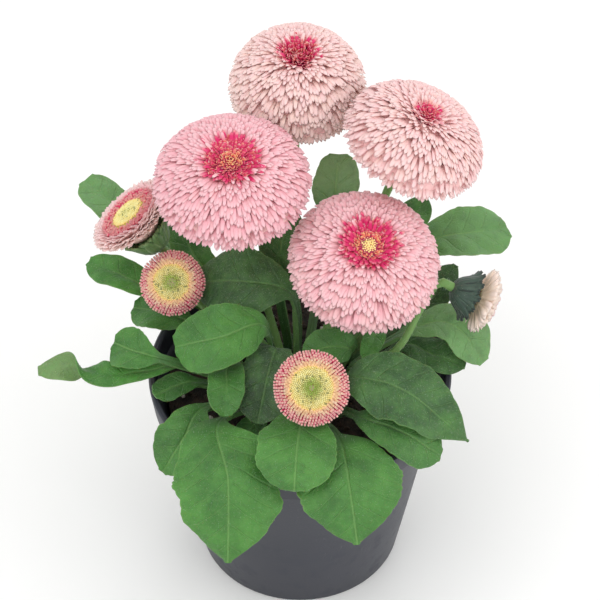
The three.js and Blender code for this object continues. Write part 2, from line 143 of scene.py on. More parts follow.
# %% [markdown]
# Colours vary over a petal or a leaf by sums on positions and noise. Wiring such sums node by
# node hides them, so a small class wraps a socket: + - * / on it add the Math nodes. Finish is
# one material, and its node method adds any other node.

# %% Shader sums in Python
class Wire:
    """A socket of one finish, with the sums that a Math node does."""

    def __init__(self, finish, socket):
        self.finish = finish
        self.socket = socket

    def sum(self, operation, *values):
        return self.finish.node("ShaderNodeMath", {"operation": operation}, dict(enumerate(values)))

    def __add__(self, other):
        return self.sum("ADD", self, other)

    def __sub__(self, other):
        return self.sum("SUBTRACT", self, other)

    def __rsub__(self, other):
        return self.sum("SUBTRACT", other, self)

    def __mul__(self, other):
        return self.sum("MULTIPLY", self, other)

    def __truediv__(self, other):
        return self.sum("DIVIDE", self, other)

    __radd__ = __add__
    __rmul__ = __mul__

    def size(self):
        return self.sum("ABSOLUTE", self)

    def at_least(self, other):
        return self.sum("MAXIMUM", self, other)

    def rise(self, low, high):
        """0 below low, 1 above high and smooth between."""
        settings = {"interpolation_type": "SMOOTHSTEP"}
        inputs = {"Value": self, "From Min": low, "From Max": high}
        return self.finish.node("ShaderNodeMapRange", settings, inputs)


class Finish:
    """One material. Its node method adds a node: type, settings, then the sockets' inputs."""

    def __init__(self, name):
        self.material = bpy.data.materials.new(name)
        self.material.use_nodes = True
        self.tree = self.material.node_tree
        self.shader = self.tree.nodes["Principled BSDF"]

    def feed(self, socket, value):
        if isinstance(value, Wire):
            self.tree.links.new(value.socket, socket)
        else:
            socket.default_value = value

    def node(self, kind, settings=None, inputs=None, output=0):
        node = self.tree.nodes.new(kind)
        for key, value in (settings or {}).items():
            setattr(node, key, value)
        for key, value in (inputs or {}).items():
            self.feed(node.inputs[key], value)
        return Wire(self, node.outputs[output])

    def mix(self, share, first, second):
        settings = {"data_type": "RGBA", "clamp_factor": True}
        return self.node("ShaderNodeMix", settings, {0: share, 6: first, 7: second}, 2)

    def parts(self, vector):
        split = self.node("ShaderNodeSeparateXYZ", None, {0: vector})
        sockets = split.socket.node.outputs
        return [Wire(self, socket) for socket in sockets]

    def attribute(self, name):
        return self.node("ShaderNodeAttribute", {"attribute_name": name}, None, "Vector")

    def place(self):
        return self.node("ShaderNodeTexCoord", None, None, "Object")

    def noise(self, scale, detail):
        inputs = {"Vector": self.place(), "Scale": scale, "Detail": detail}
        return self.node("ShaderNodeTexNoise", None, inputs)

    def upright_streaks(self, across, upwards):
        """Noise drawn out along the height of the piece, from its scales across and upwards."""
        inputs = {"Vector": self.place(), "Scale": (across, across, upwards)}
        drawn_out = self.node("ShaderNodeMapping", None, inputs)
        return self.node("ShaderNodeTexNoise", None, {"Vector": drawn_out, "Scale": 1, "Detail": 3})

    def cell_edges(self, scale):
        """How far each place is from the edges of a net of cells."""
        inputs = {"Vector": self.place(), "Scale": scale}
        return self.node("ShaderNodeTexVoronoi", {"feature": "DISTANCE_TO_EDGE"}, inputs)

    def paint(self, colour, roughness, height=None, depth=0.0, **steady):
        """Feeds the shader. The steady values are the same all over and stay on its sockets."""
        self.feed(self.shader.inputs["Base Color"], colour)
        self.feed(self.shader.inputs["Roughness"], roughness)
        if height is not None:
            bump = self.node("ShaderNodeBump", None, {"Height": height, "Distance": depth, "Strength": 1})
            self.feed(self.shader.inputs["Normal"], bump)
        for key, value in steady.items():
            socket = key.replace("_", " ").title().replace("Ior", "IOR")
            self.shader.inputs[socket].default_value = value
        return self.material


def light_of(value):
    """How much light a screen value between 0 and 255 stands for."""
    share = value / 255
    return ((share + 0.055) / 1.055) ** 2.4 if value > 10 else share / 12.92


def colour(red, green, blue):
    """A paint colour from screen values."""
    return (light_of(red), light_of(green), light_of(blue), 1.0)


floor_finish = Finish("pale_floor")
floor.data.materials.append(floor_finish.paint(colour(250, 250, 249), 0.9))
print("floor painted")

# %% [markdown]
# Three small habits keep the operators safe: deselect before adding a primitive, select rows of
# points by their place, and apply each modifier as soon as it is set.

# %% Modelling helpers
def start(name, add, **sizes):
    """Adds a primitive as the only selected object. add is its bpy.ops call."""
    bpy.ops.object.select_all(action="DESELECT")
    add(**sizes)
    piece = bpy.context.object
    piece.name = piece.data.name = name
    return piece


def select_where(piece, test):
    """In edit mode, selects the points whose place passes the test."""
    bpy.ops.mesh.select_mode(type="VERT")
    bpy.ops.mesh.select_all(action="DESELECT")
    cage = bmesh.from_edit_mesh(piece.data)
    for point in cage.verts:
        point.select = test(point.co)
    cage.select_flush_mode()
    bmesh.update_edit_mesh(piece.data)


def pick(piece):
    """Makes one piece the only selected object and the active one."""
    bpy.ops.object.select_all(action="DESELECT")
    piece.select_set(True)
    bpy.context.view_layer.objects.active = piece


def finish_with(piece, kind, **settings):
    """Adds a modifier, sets it and applies it."""
    modifier = piece.modifiers.new(kind.lower(), kind)
    for key, value in settings.items():
        setattr(modifier, key, value)
    pick(piece)
    bpy.ops.object.modifier_apply(modifier=modifier.name)


def join(first, *others):
    pick(first)
    for piece in others:
        piece.select_set(True)
    bpy.ops.object.join()
    return first


def hand_over(piece, slot, *nodes):
    """The finished piece takes the place of its solids."""
    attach(piece, "root")
    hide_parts(*nodes)
    piece.data.calc_loop_triangles()
    print(f"{piece.name}: {len(piece.data.loop_triangles)} triangles")


# %% [markdown]
# The pot is an 11 cm nursery pot: a thin tapered wall, a step out to a deep collar, a rounded lip
# and a floor with drain holes. A lathe profile says all of it, so one ring of edges is extruded
# and resized from radius to radius, up the outside and down the inside.

# %% Pot profile
RIM_RADIUS = 55
BASE_RADIUS = 37.5
COLLAR_DEPTH = 11
COLLAR_STEP = 4.7
WALL = 1.3
FLOOR_THICK = 1.6
FOOT_INSIDE = 31.5
FOOT_LIFT = 0.7
POT_SIDES = 120
SHARP_EDGE = math.radians(32)
collar = POT_HEIGHT - COLLAR_DEPTH


def wall_radius(z):
    return BASE_RADIUS + (RIM_RADIUS - COLLAR_STEP - BASE_RADIUS) * z / collar


POT_PROFILE = [
    (FOOT_INSIDE, FOOT_LIFT), (FOOT_INSIDE + 0.8, 0.0), (BASE_RADIUS - 1.3, 0.0),
    (BASE_RADIUS - 0.4, 0.3), (BASE_RADIUS, 1.2),
    (wall_radius(30), 30), (wall_radius(collar - 1.2), collar - 1.2), (wall_radius(collar) + 0.5, collar),
    (RIM_RADIUS - 2.0, collar + 0.25), (RIM_RADIUS - 1.2, collar + 1.0), (RIM_RADIUS - 0.5, 82),
    (RIM_RADIUS, POT_HEIGHT - 1.6), (RIM_RADIUS - 0.1, POT_HEIGHT - 0.5), (RIM_RADIUS - 0.7, POT_HEIGHT),
    (RIM_RADIUS - 1.8, POT_HEIGHT - 0.1), (RIM_RADIUS - 2.4, POT_HEIGHT - 0.8),
    (RIM_RADIUS - 3.2, collar + 2), (wall_radius(collar) - WALL, collar - 1),
    (wall_radius(FLOOR_THICK) - WALL, FLOOR_THICK + 0.8), (wall_radius(0) - 2.6, FLOOR_THICK),
]
print("pot profile:", len(POT_PROFILE), "rings")

# %% Pot wall
def pull_rings(profile):
    """Extrudes the selected ring through each radius and height, in millimetres."""
    for (radius, height), (wider, higher) in zip(profile, profile[1:]):
        lift = {"value": (0, 0, (higher - height) * MM)}
        bpy.ops.mesh.extrude_region_move(TRANSFORM_OT_translate=lift)
        bpy.ops.transform.resize(value=(wider / radius, wider / radius, 1), center_override=(0, 0, 0))


def on_foot_ring(spot):
    return abs(spot.z - FOOT_LIFT * MM) < 0.01 * MM and spot.xy.length < (FOOT_INSIDE + 0.1) * MM


pot = start("pot_shell", bpy.ops.mesh.primitive_circle_add,
            vertices=POT_SIDES, radius=FOOT_INSIDE * MM, location=(0, 0, FOOT_LIFT * MM))
bpy.ops.object.transform_apply()
bpy.ops.object.mode_set(mode="EDIT")
pull_rings(POT_PROFILE)
bpy.ops.mesh.edge_face_add()
select_where(pot, on_foot_ring)
bpy.ops.mesh.edge_face_add()
bpy.ops.mesh.select_all(action="SELECT")
bpy.ops.mesh.normals_make_consistent(inside=False)
bpy.ops.object.mode_set(mode="OBJECT")
print("pot points:", len(pot.data.vertices))

# %% Drain holes
DRAIN_HOLES = 8
DRAIN_RADIUS = 3
DRAIN_CIRCLE = 27
DRAIN_SIDES = 24
DRILL_DEPTH = 6

drill = None
for i in range(DRAIN_HOLES):
    turn = FULL_TURN * (i + 0.5) / DRAIN_HOLES
    where = (DRAIN_CIRCLE * math.cos(turn) * MM, DRAIN_CIRCLE * math.sin(turn) * MM, FLOOR_THICK / 2 * MM)
    plug = start("drain_drill", bpy.ops.mesh.primitive_cylinder_add,
                 vertices=DRAIN_SIDES, radius=DRAIN_RADIUS * MM, depth=DRILL_DEPTH * MM, location=where)
    drill = join(drill, plug) if drill else plug
pick(drill)
bpy.ops.object.transform_apply()
finish_with(pot, "BOOLEAN", operation="DIFFERENCE", object=drill, solver="EXACT")
bpy.data.objects.remove(drill)
pick(pot)
bpy.ops.object.shade_smooth_by_angle(angle=SHARP_EDGE)
print("pot faces:", len(pot.data.polygons))

# %% [markdown]
# The plastic is matte and dark grey, a little blue. The moulding leaves a fine grain, handling
# leaves paler scuffs, and a dusty bloom sits where water dried. Inside, the wall is painted near
# black as painted shade. All of that is colour and roughness over the place on the pot.

# %% Pot plastic
plastic = Finish("pot_plastic")
x, y, z = plastic.parts(plastic.place())
flat_place = plastic.node("ShaderNodeCombineXYZ", None, {0: x, 1: y})
radius_here = plastic.node("ShaderNodeVectorMath", {"operation": "LENGTH"}, {0: flat_place}, "Value")
cloud = plastic.noise(28, 3)
dust = plastic.noise(160, 4).rise(0.52, 0.75)
grain = plastic.noise(2600, 1)
scuffs = plastic.upright_streaks(900, 60).rise(0.62, 0.8) * cloud.rise(0.45, 0.7)
grey = plastic.mix(cloud, colour(42, 44, 53), colour(54, 56, 66))
grey = plastic.mix(dust * 0.2, grey, colour(90, 92, 98))
grey = plastic.mix(scuffs * 0.3, grey, colour(112, 114, 119))
taper = (RIM_RADIUS - COLLAR_STEP - BASE_RADIUS) / collar
# A place inside the wall, followed down along the taper, lands inside the foot's radius.
foot_radius = radius_here * (1 / MM) - z * (1 / MM) * taper
inside_shade = foot_radius.rise(BASE_RADIUS - 0.5, BASE_RADIUS - 1.0)
# Painted shade: the inside of the wall is painted near black, for the shadow that falls into the pot.
grey = plastic.mix(inside_shade * 0.7, grey, colour(24, 24, 27))
dullness = 0.46 + dust * 0.18 + scuffs * 0.1
relief = grain * 0.5 + scuffs * -1.0
plastic_paint = plastic.paint(grey, dullness, relief, 0.00012, specular_ior_level=0.45)
pot.data.materials.append(plastic_paint)
hand_over(pot, "pot", "pot")

# %% [markdown]
# Potting soil is peat with crumbs, bits of bark and a few white grains of perlite. The body is a
# lathe again, its top roughened with noise, and crumbs modelled once as rough little balls lie
# all over it.

# %% Soil body
SOIL_BELOW_RIM = 9
SOIL_TOP = POT_HEIGHT - SOIL_BELOW_RIM
SOIL_BOTTOM = 1.9
SOIL_SIDES = 96
BROAD_LUMP, FINE_LUMP = 13, 3.4
BROAD_HEIGHT, FINE_HEIGHT = 0.7, 0.45
soil_clear = WALL + 0.7
soil_wide = wall_radius(collar) - soil_clear
soil_narrow = wall_radius(0) - soil_clear
soil_profile = [
    (soil_narrow - 1.2, SOIL_BOTTOM), (soil_narrow, SOIL_BOTTOM + 1.1),
    (soil_wide, collar - 2), (soil_wide, SOIL_TOP - 0.8),
    *((radius, SOIL_TOP) for radius in range(46, 3, -3)), (1.2, SOIL_TOP),
]
soil = start("soil_body", bpy.ops.mesh.primitive_circle_add, vertices=SOIL_SIDES,
             radius=soil_profile[0][0] * MM, location=(0, 0, SOIL_BOTTOM * MM))
bpy.ops.object.transform_apply()
bpy.ops.object.mode_set(mode="EDIT")
bpy.ops.mesh.select_all(action="SELECT")
pull_rings(soil_profile)
bpy.ops.mesh.edge_face_add()
select_where(soil, lambda spot: spot.z < (SOIL_BOTTOM + 0.1) * MM)
bpy.ops.mesh.edge_face_add()
bpy.ops.mesh.select_all(action="SELECT")
bpy.ops.mesh.normals_make_consistent(inside=False)
bpy.ops.object.mode_set(mode="OBJECT")


def soil_height(x, y):
    """The lumpy top of the soil at a place, in millimetres."""
    broad = noise.noise(Vector((x, y, 3)) / BROAD_LUMP)
    fine = noise.noise(Vector((x, y, 9)) / FINE_LUMP)
    return SOIL_TOP + BROAD_HEIGHT * broad + FINE_HEIGHT * fine


for point in soil.data.vertices:
    if point.co.z > (SOIL_TOP - 0.9) * MM:
        point.co.z = soil_height(point.co.x / MM, point.co.y / MM) * MM
print("soil points:", len(soil.data.vertices))

# %% [markdown]
# Crumbs, petals, florets and hairs all repeat hundreds of times. Each is modelled once, then read
# as a bare shape: its points and faces. Many copies go into one mesh, each with its own points,
# because hundreds of loose objects would be slow to join.

# %% Reading a shape and writing many copies
def shape_of(piece):
    """A modelled piece as (points, faces), and the piece is cleared away."""
    points = np.array([tuple(point.co) for point in piece.data.vertices])
    faces = [tuple(face.vertices) for face in piece.data.polygons]
    bpy.data.objects.remove(piece)
    return points, faces


def copies(name, shape, laid, marks=None):
    """One mesh of many copies. laid holds every copy's points in mm, marks its attributes."""
    points, faces = shape
    count, each = laid.shape[:2]
    all_faces = [tuple(i + n * each for i in face) for n in range(count) for face in faces]
    mesh = bpy.data.meshes.new(name)
    mesh.from_pydata((laid.reshape(-1, 3) * MM).tolist(), [], all_faces)
    for mark, values in (marks or {}).items():
        attribute = mesh.attributes.new(mark, "FLOAT_VECTOR", "POINT")
        attribute.data.foreach_set("vector", np.ascontiguousarray(values, dtype=np.float32).ravel())
    mesh.shade_smooth()
    piece = bpy.data.objects.new(name, mesh)
    bpy.context.scene.collection.objects.link(piece)
    return piece


def turned(rng):
    """A turn in any direction, as three unit rows."""
    axis = Vector((rng.uniform(-1, 1), rng.uniform(-1, 1), rng.uniform(-1, 1))).normalized()
    return np.array(Matrix.Rotation(rng.uniform(0, FULL_TURN), 3, axis))


print("copying is ready")

# %% Soil crumbs and perlite
CRUMBS = 620
SMALLEST_CRUMB = 0.9
CRUMB_SPREAD = 1.9
PERLITE_SHARE = 0.05

lump = start("crumb", bpy.ops.mesh.primitive_ico_sphere_add, subdivisions=2, radius=0.5)
for point in lump.data.vertices:
    point.co *= 1 + 0.35 * noise.noise(point.co * 3.1)
    point.co.z *= 0.7
crumb_shape = shape_of(lump)
rng = random.Random(5)
laid, grains = [], []
for n in range(CRUMBS):
    reach = (soil_wide - 1.8) * math.sqrt(rng.random())
    turn = rng.uniform(0, FULL_TURN)
    across, deep = reach * math.cos(turn), reach * math.sin(turn)
    size = SMALLEST_CRUMB + CRUMB_SPREAD * rng.random() ** 2.2
    centre = np.array((across, deep, soil_height(across, deep) + 0.12 * size))
    laid.append(crumb_shape[0] * size @ turned(rng) + centre)
    white = 1.0 if rng.random() < PERLITE_SHARE else 0.0
    grains.append(np.tile((white, rng.random(), 0), (len(crumb_shape[0]), 1)))
crumbs = copies("soil_crumbs", crumb_shape, np.array(laid), {"grain": np.array(grains)})
print("crumbs:", CRUMBS)

# %% Soil finish
peat = Finish("potting_soil")
white, shade, _ = peat.parts(peat.attribute("grain"))
lumps = peat.noise(330, 4)
fibre = peat.noise(1500, 2)
brown = peat.mix(lumps.rise(0.35, 0.7), colour(24, 19, 16), colour(58, 44, 34))
brown = peat.mix(shade * 0.5, brown, colour(74, 56, 42))
brown = peat.mix(white, brown, colour(205, 200, 190))
soil_paint = peat.paint(brown, 0.95 - white * 0.1, lumps + fibre * 0.5, 0.0012)
soil.data.materials.append(soil_paint)
crumbs.data.materials.append(soil_paint)
hand_over(join(soil, crumbs), "soil", "soil")

# %% [markdown]
# A leaf grows along a smooth line: up out of the soil, over the rim and down again. The same line
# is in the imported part. It passes through a few places, and is measured along its own length, so
# that rows of the blade are evenly spaced.

# %% Growth lines
ROOT_DEPTH = 8
STALK_RISE = 3
SPAN_STEPS = 60
TANGENT_STEP = 0.004


def spacing(first, second):
    """The square root of a distance, which keeps a curve from looping between uneven places."""
    return math.sqrt(max(np.linalg.norm(second - first), 1e-4))


class GrowthLine:
    """A smooth line through places in millimetres, measured by share of its length."""

    def __init__(self, root, places):
        surface = place(*root, -SOIL_BELOW_RIM)
        points = [surface - ROOT_DEPTH * UP, surface, surface + STALK_RISE * UP, *places]
        ends = [2 * points[0] - points[1], *points, 2 * points[-1] - points[-2]]
        fine = []
        for a, b, c, d in zip(ends, ends[1:], ends[2:], ends[3:]):
            before, span, after = spacing(a, b), spacing(b, c), spacing(c, d)
            leaving = ((b - a) / before - (c - a) / (before + span) + (c - b) / span) * span
            arriving = ((c - b) / span - (d - b) / (span + after) + (d - c) / after) * span
            for t in np.linspace(0, 1, SPAN_STEPS, endpoint=False):
                fine.append(b * (2 * t**3 - 3 * t**2 + 1) + leaving * (t**3 - 2 * t**2 + t)
                            + c * (3 * t**2 - 2 * t**3) + arriving * (t**3 - t**2))
        self.points = np.array([*fine, points[-1]])
        steps = np.linalg.norm(np.diff(self.points, axis=0), axis=1)
        self.measured = np.concatenate(([0], np.cumsum(steps)))
        self.length = self.measured[-1]

    def at(self, share):
        reach = min(max(share, 0), 1) * self.length
        return np.array([np.interp(reach, self.measured, self.points[:, i]) for i in range(3)])

    def frame(self, share, lean):
        """Place, tangent, side and normal. The side stays square to the way the piece leans."""
        along = unit(self.at(share + TANGENT_STEP) - self.at(share - TANGENT_STEP))
        side = unit(np.cross(lean, UP))
        side = unit(side - along * side.dot(along))
        return self.at(share), along, side, np.cross(side, along)


def unit(vector):
    return vector / np.linalg.norm(vector)


def lean_of(start_place, end_place):
    way = np.array(end_place, float) - np.array(start_place, float)
    way[2] = 0
    return unit(way)


def spun(vector, axis, angle):
    """A vector turned about an axis that is square to it."""
    return vector * math.cos(angle) + np.cross(axis, vector) * math.sin(angle)


def rise(value, low, high):
    """0 below low, 1 above high and smooth between."""
    share = np.clip((value - low) / (high - low), 0, 1)
    return share * share * (3 - 2 * share)


def steady_draws(seed):
    """The same stream of draws between -1 and 1 that shaped the solids."""
    state = (seed * 2654435761) & 0xFFFFFFFF
    while True:
        state = (state * 1664525 + 1013904223) & 0xFFFFFFFF
        yield state / 2**32 * 2 - 1


print("growth lines are ready")

# %% [markdown]
# Every leaf has its own line, width and bend, written in a small table: the root in the soil,
# places along the midrib, the greatest width, and as neck the share of the length that is stalk.
# Blunt is small where the blade is widest close to a round end. Roll tips the blade sideways, twist
# turns its end over, cup lifts the edges and wave ripples them. The last number is light and shade
# painted into the green: 0 for a leaf in full light, 1 for one painted dark as painted shade, and
# below 0 for one painted paler as painted light.

# %% The leaves
LEAVES = [
    dict(name="front_left_leaf", root=(-13, -14), path=[(-29, -34, 8), (-25, -58, 6), (-25, -77, -17)],
         width=39, neck=0.38, roll=-2, blunt=0.95, cup=-0.06, wave=0.05, painted_shading=0.15),
    dict(name="left_front_leaf", root=(-16, -12), path=[(-35, -23, 4), (-41, -37, 4), (-49, -43, -8)],
         width=18.5, neck=0.48, roll=-10, cup=0.1, wave=0.05, painted_shading=0.3),
    dict(name="front_leaf", root=(-1, -14), path=[(1, -26, 9), (-1, -49, 13), (-2, -65, 8)],
         width=28.5, neck=0.42, blunt=0.45, cup=0.06, wave=0.02, painted_shading=0.2),
    dict(name="front_right_leaf", root=(6, -19), path=[(14, -38, 4), (17, -57, 3), (20, -72, -13)],
         width=38, neck=0.4, blunt=0.95, cup=-0.04, wave=0.04, painted_shading=0.2),
    dict(name="right_front_leaf", root=(12, -9), path=[(19, -21, 18), (35, -26, 18), (60, -36, 1)],
         width=26, neck=0.36, roll=20, blunt=1.15, cup=-0.08, wave=0.08, painted_shading=0.75),
    dict(name="right_low_leaf", root=(14, -15), path=[(22, -31, 8), (36, -37, 7), (50, -40, -2)],
         width=21, neck=0.44, roll=10, blunt=0.5, wave=0.04, painted_shading=0.4),
    dict(name="right_bent_leaf", root=(17, 6), path=[(44, 10, 13), (56, 10, 13), (67, 0, 4)],
         width=18, neck=0.45, roll=10, blunt=0.5, wave=0.05, painted_shading=-0.5),
    dict(name="right_under_leaf", root=(21, 2), path=[(38, 10, 3), (50, 3, 4), (60, 0, 2)],
         width=14, neck=0.45, roll=10, wave=0.04, painted_shading=0.8),
    dict(name="right_back_leaf", root=(14, 11), path=[(46, 46, 19), (62, 49, 22), (77, 55, 19)],
         width=22, neck=0.5, roll=10, blunt=0.35, wave=0.04, painted_shading=-0.35),
    dict(name="right_back_small_leaf", root=(9, 15), path=[(37, 49, 24), (43, 55, 27), (46, 60, 30)],
         width=14, neck=0.6, wave=0.04, painted_shading=0.4),
    dict(name="right_dark_leaf", root=(18, 10), path=[(47, 26, 8), (52, 31, 14), (57, 36, 18)],
         width=13, neck=0.5, wave=0.04, painted_shading=0.9),
    dict(name="left_dark_leaf", root=(0, 7), path=[(-3, 13, 26), (-20, 15, 30), (-39, 24, 21)],
         width=26, neck=0.48, roll=-30, blunt=0.7, cup=-0.1, wave=0.04, painted_shading=0.85),
    dict(name="left_bright_leaf", root=(-9, -1), path=[(-13, -1, 24), (-29, -9, 26), (-45, -6, 18)],
         width=25, neck=0.44, roll=-20, blunt=0.5, cup=-0.05, wave=0.05, painted_shading=0.1),
    dict(name="left_back_leaf", root=(-14, 16),
         path=[(-48, 52, 10), (-59, 55, 18), (-70, 59, 28), (-80, 68, 31)],
         width=18, neck=0.57, blunt=0.4, painted_shading=-0.4),
    dict(name="left_outer_leaf", root=(-17, 11),
         path=[(-36, 29, 4), (-45, 26, 9.5), (-55, 27, 15), (-67, 31, 19), (-78, 38, 18)],
         width=14, neck=0.58, roll=-10, blunt=0.5, painted_shading=0.0),
    dict(name="left_under_button_leaf", root=(-20, 5), path=[(-41, 21, 3), (-52, 25, 5), (-62, 30, 2)],
         width=17, neck=0.57, roll=-15, blunt=0.5, painted_shading=0.3),
    dict(name="left_twisted_leaf", root=(-18, 2),
         path=[(-39, -2, 7), (-54, -9, 9), (-69, -11, 9), (-80, -6, 8), (-94, -7, 6)],
         width=11.5, neck=0.42, roll=-10, twist=180, blunt=0.45, wave=0.03, painted_shading=0.0),
    dict(name="left_side_leaf", root=(-19, -3), path=[(-47, -8, 13), (-59, -7, 17), (-67, -1, 15)],
         width=16.5, neck=0.7, roll=-25, blunt=0.45, painted_shading=0.1),
    dict(name="left_low_leaf", root=(-20, -8), path=[(-37, -7, 1), (-45, -10, 2), (-52, -15, 2)],
         width=11, neck=0.58, roll=-10, blunt=0.5, painted_shading=0.3),
    dict(name="centre_folded_leaf", root=(-12, -8), path=[(-25, -9, 14), (-26, -24, 15), (-26, -34, 12)],
         width=13, neck=0.42, cup=0.3, blunt=0.45, painted_shading=0.3),
    dict(name="centre_low_leaf", root=(-6, -14), path=[(-11, -20, -1), (-18, -29, -1), (-22, -37, -2)],
         width=10, neck=0.5, blunt=0.5, painted_shading=0.5),
    dict(name="centre_dark_leaf", root=(-4, -8), path=[(-8, -5, 17), (-12, -19, 14), (-15, -33, 7)],
         width=21, neck=0.4, blunt=0.6, painted_shading=1.0),
    dict(name="back_tall_leaf", root=(3, 15), path=[(11, 46, 30), (13, 51, 43), (14, 61, 50)],
         width=17, neck=0.6, blunt=0.4, painted_shading=-0.8),
    dict(name="back_left_leaf", root=(-9, 19), path=[(-39, 41, 18), (-42, 45, 24), (-47, 52, 28)],
         width=16, neck=0.5, blunt=0.45, painted_shading=0.3),
    dict(name="back_centre_leaf", root=(-4.5, 18), path=[(-8, 22, 22), (-7, 31, 31), (-4, 44, 38)],
         width=16, neck=0.5, blunt=0.5, painted_shading=0.6),
    dict(name="right_centre_leaf", root=(9, -4), path=[(19, -3, 13), (11, -4, 16), (1, -4, 12)],
         width=14, neck=0.5, roll=-25, blunt=0.5, painted_shading=0.4),
    dict(name="right_narrow_leaf", root=(11, 5), path=[(27, 3, 16), (25, -5, 16), (24, -9, 13)],
         width=8, neck=0.5, blunt=0.5, painted_shading=0.2),
]
print("leaves:", len(LEAVES))

# %% [markdown]
# A blade starts as a flat grid, which is how a leaf would be drawn on paper. Its rows then ride
# on the growth line, wide in the middle and round at the tip. The midrib sinks, the blade swells
# between its side veins, and the margin gets small round teeth. Extruding and bending by hand
# can't follow such a line, so the points are moved by sums. Solidify gives the thickness, less at
# the margin, and its second material paints the underside.

# %% Leaf blades
LEAF_THICK = 0.9
PETIOLE_WIDTH = 3.2
PETIOLE_THICK = 1.5
MARGIN_THICK = 0.45
RIPPLES = 1.6
RIPPLE_SHIFT = 1.9
TIP_WIDTH = 0.012
MIDRIB_DEPTH, MIDRIB_WIDTH = 0.55, 1.3
VEIN_PITCH = 7.5
VEIN_SLOPE = 0.85
VEIN_DEPTH = 0.2
SWELL_WIDTH, SWELL_HEIGHT = 9, 0.8
DIMPLE_WIDTH, DIMPLE_HEIGHT = 4.2, 0.3
TEETH_PER_MM = 0.45
TOOTH_DEPTH = 0.03
RAGGED_LENGTH, RAGGED_DEPTH = 8, 0.16
STALK_ROWS = 0.22
BLADE_COLUMNS = 16
BLADE_ROWS = 72
COLUMN_SPREAD = 1.25


def spoon(v, blunt):
    """Half the width of a blade one wide, at share v from its neck to its tip."""
    broadest = 1 / (1 + blunt)
    peak = broadest * (1 - broadest) ** blunt
    return 0.5 * v * max(1 - v, TIP_WIDTH) ** blunt / peak


def share_of_length(row, neck):
    """How far along its leaf a row of the grid lies. The stalk takes the first rows."""
    if row < STALK_ROWS:
        return row / STALK_ROWS * neck
    return neck + (1 - neck) * (row - STALK_ROWS) / (1 - STALK_ROWS)


def leaf_row(leaf, line, phase, row):
    """One row of a blade: the places of its points, and its measures for the paint."""
    neck, blunt = leaf["neck"], leaf.get("blunt", 0.6)
    lean = lean_of(leaf["path"][0], leaf["path"][-1])
    s = share_of_length(row, neck)
    v = max(0, (s - neck) / (1 - neck))
    at, along, side, normal = line.frame(s, lean)
    angle = math.radians(leaf.get("roll", 0) * rise(s, neck * 0.4, neck + 0.2)
                         + leaf.get("twist", 0) * rise(v, 0.56, 0.9))
    side, normal = spun(side, along, angle), spun(normal, along, angle)
    blade = float(rise(v, 0, 0.3))
    width = leaf["width"]
    half = math.hypot(PETIOLE_WIDTH / 2 * (1 - v), width * spoon(v, blunt))
    length = v * (1 - neck) * line.length
    teeth = max(6, round(width * TEETH_PER_MM))

    def point(u):
        """The place at a share of the half width, from -1 to 1."""
        reach = abs(u) * half
        wave = leaf.get("wave", 0.04) * width
        ripple = math.sin(FULL_TURN * RIPPLES * v + phase + (RIPPLE_SHIFT if u > 0 else 0))
        lift = (leaf.get("cup", 0) * half + wave * ripple) * u * u * blade
        lift -= MIDRIB_DEPTH * blade * math.exp(-((reach / MIDRIB_WIDTH) ** 2))
        vein = (length - VEIN_SLOPE * reach) / VEIN_PITCH
        lift -= VEIN_DEPTH * blade * math.cos(FULL_TURN * vein) * rise(reach, 0.8, 4) * (1 - abs(u) ** 4)
        spot = Vector((*(at + side * u * half),))
        swell, dimple = noise.noise(spot / SWELL_WIDTH), noise.noise(spot / DIMPLE_WIDTH)
        lift += blade * (SWELL_HEIGHT * swell + DIMPLE_HEIGHT * dimple)
        ragged = noise.noise(Vector((length / RAGGED_LENGTH, math.copysign(9, u), phase)))
        notch = 1 + TOOTH_DEPTH * blade * (abs(math.sin(math.pi * teeth * v)) - 0.6) * abs(u) ** 8
        notch += RAGGED_DEPTH * blade * ragged * abs(u) ** 3
        return at + side * u * half * notch + normal * lift

    thin = PETIOLE_THICK + (LEAF_THICK - PETIOLE_THICK) * blade
    return point, half, length, thin, blade


def leaf_piece(leaf, seed):
    line = GrowthLine(leaf["root"], [place(*p) for p in leaf["path"]])
    phase = next(steady_draws(seed)) * math.pi
    piece = start(leaf["name"] + "_blade", bpy.ops.mesh.primitive_grid_add,
                  x_subdivisions=BLADE_COLUMNS, y_subdivisions=BLADE_ROWS, size=1, calc_uvs=True)
    rows = {}
    pattern, tones = [], []
    thickness = piece.vertex_groups.new(name="thickness")
    for point in piece.data.vertices:
        row = round(point.co.y + 0.5, 5)
        if row not in rows:
            rows[row] = leaf_row(leaf, line, phase, row)
        where, half, length, thin, blade = rows[row]
        u = math.copysign(abs(2 * point.co.x) ** COLUMN_SPREAD, point.co.x)
        point.co = where(u) * MM
        edge = 1 - (1 - MARGIN_THICK) * blade * abs(u) ** 3
        thickness.add([point.index], thin * edge / PETIOLE_THICK, "REPLACE")
        pattern.extend((u * half, length, abs(u)))
        tones.extend((leaf["painted_shading"], leaf["width"], blade))
    for name, values in (("blade", pattern), ("painted_shading", tones)):
        attribute = piece.data.attributes.new(name, "FLOAT_VECTOR", "POINT")
        attribute.data.foreach_set("vector", values)
    return piece


LEAF_SEED = 101
leaf_pieces = {leaf["name"]: leaf_piece(leaf, LEAF_SEED + i) for i, leaf in enumerate(LEAVES)}
print("blades:", len(leaf_pieces))

# %% [markdown]
# A leaf's green comes from its veins as much as its flesh: a pale midrib, side veins that leave it
# in arcs, a fine net between them, and a thin pale margin. The blade attribute holds how far each
# point is from the midrib and from the stalk, so the veins follow every bend of the leaf.

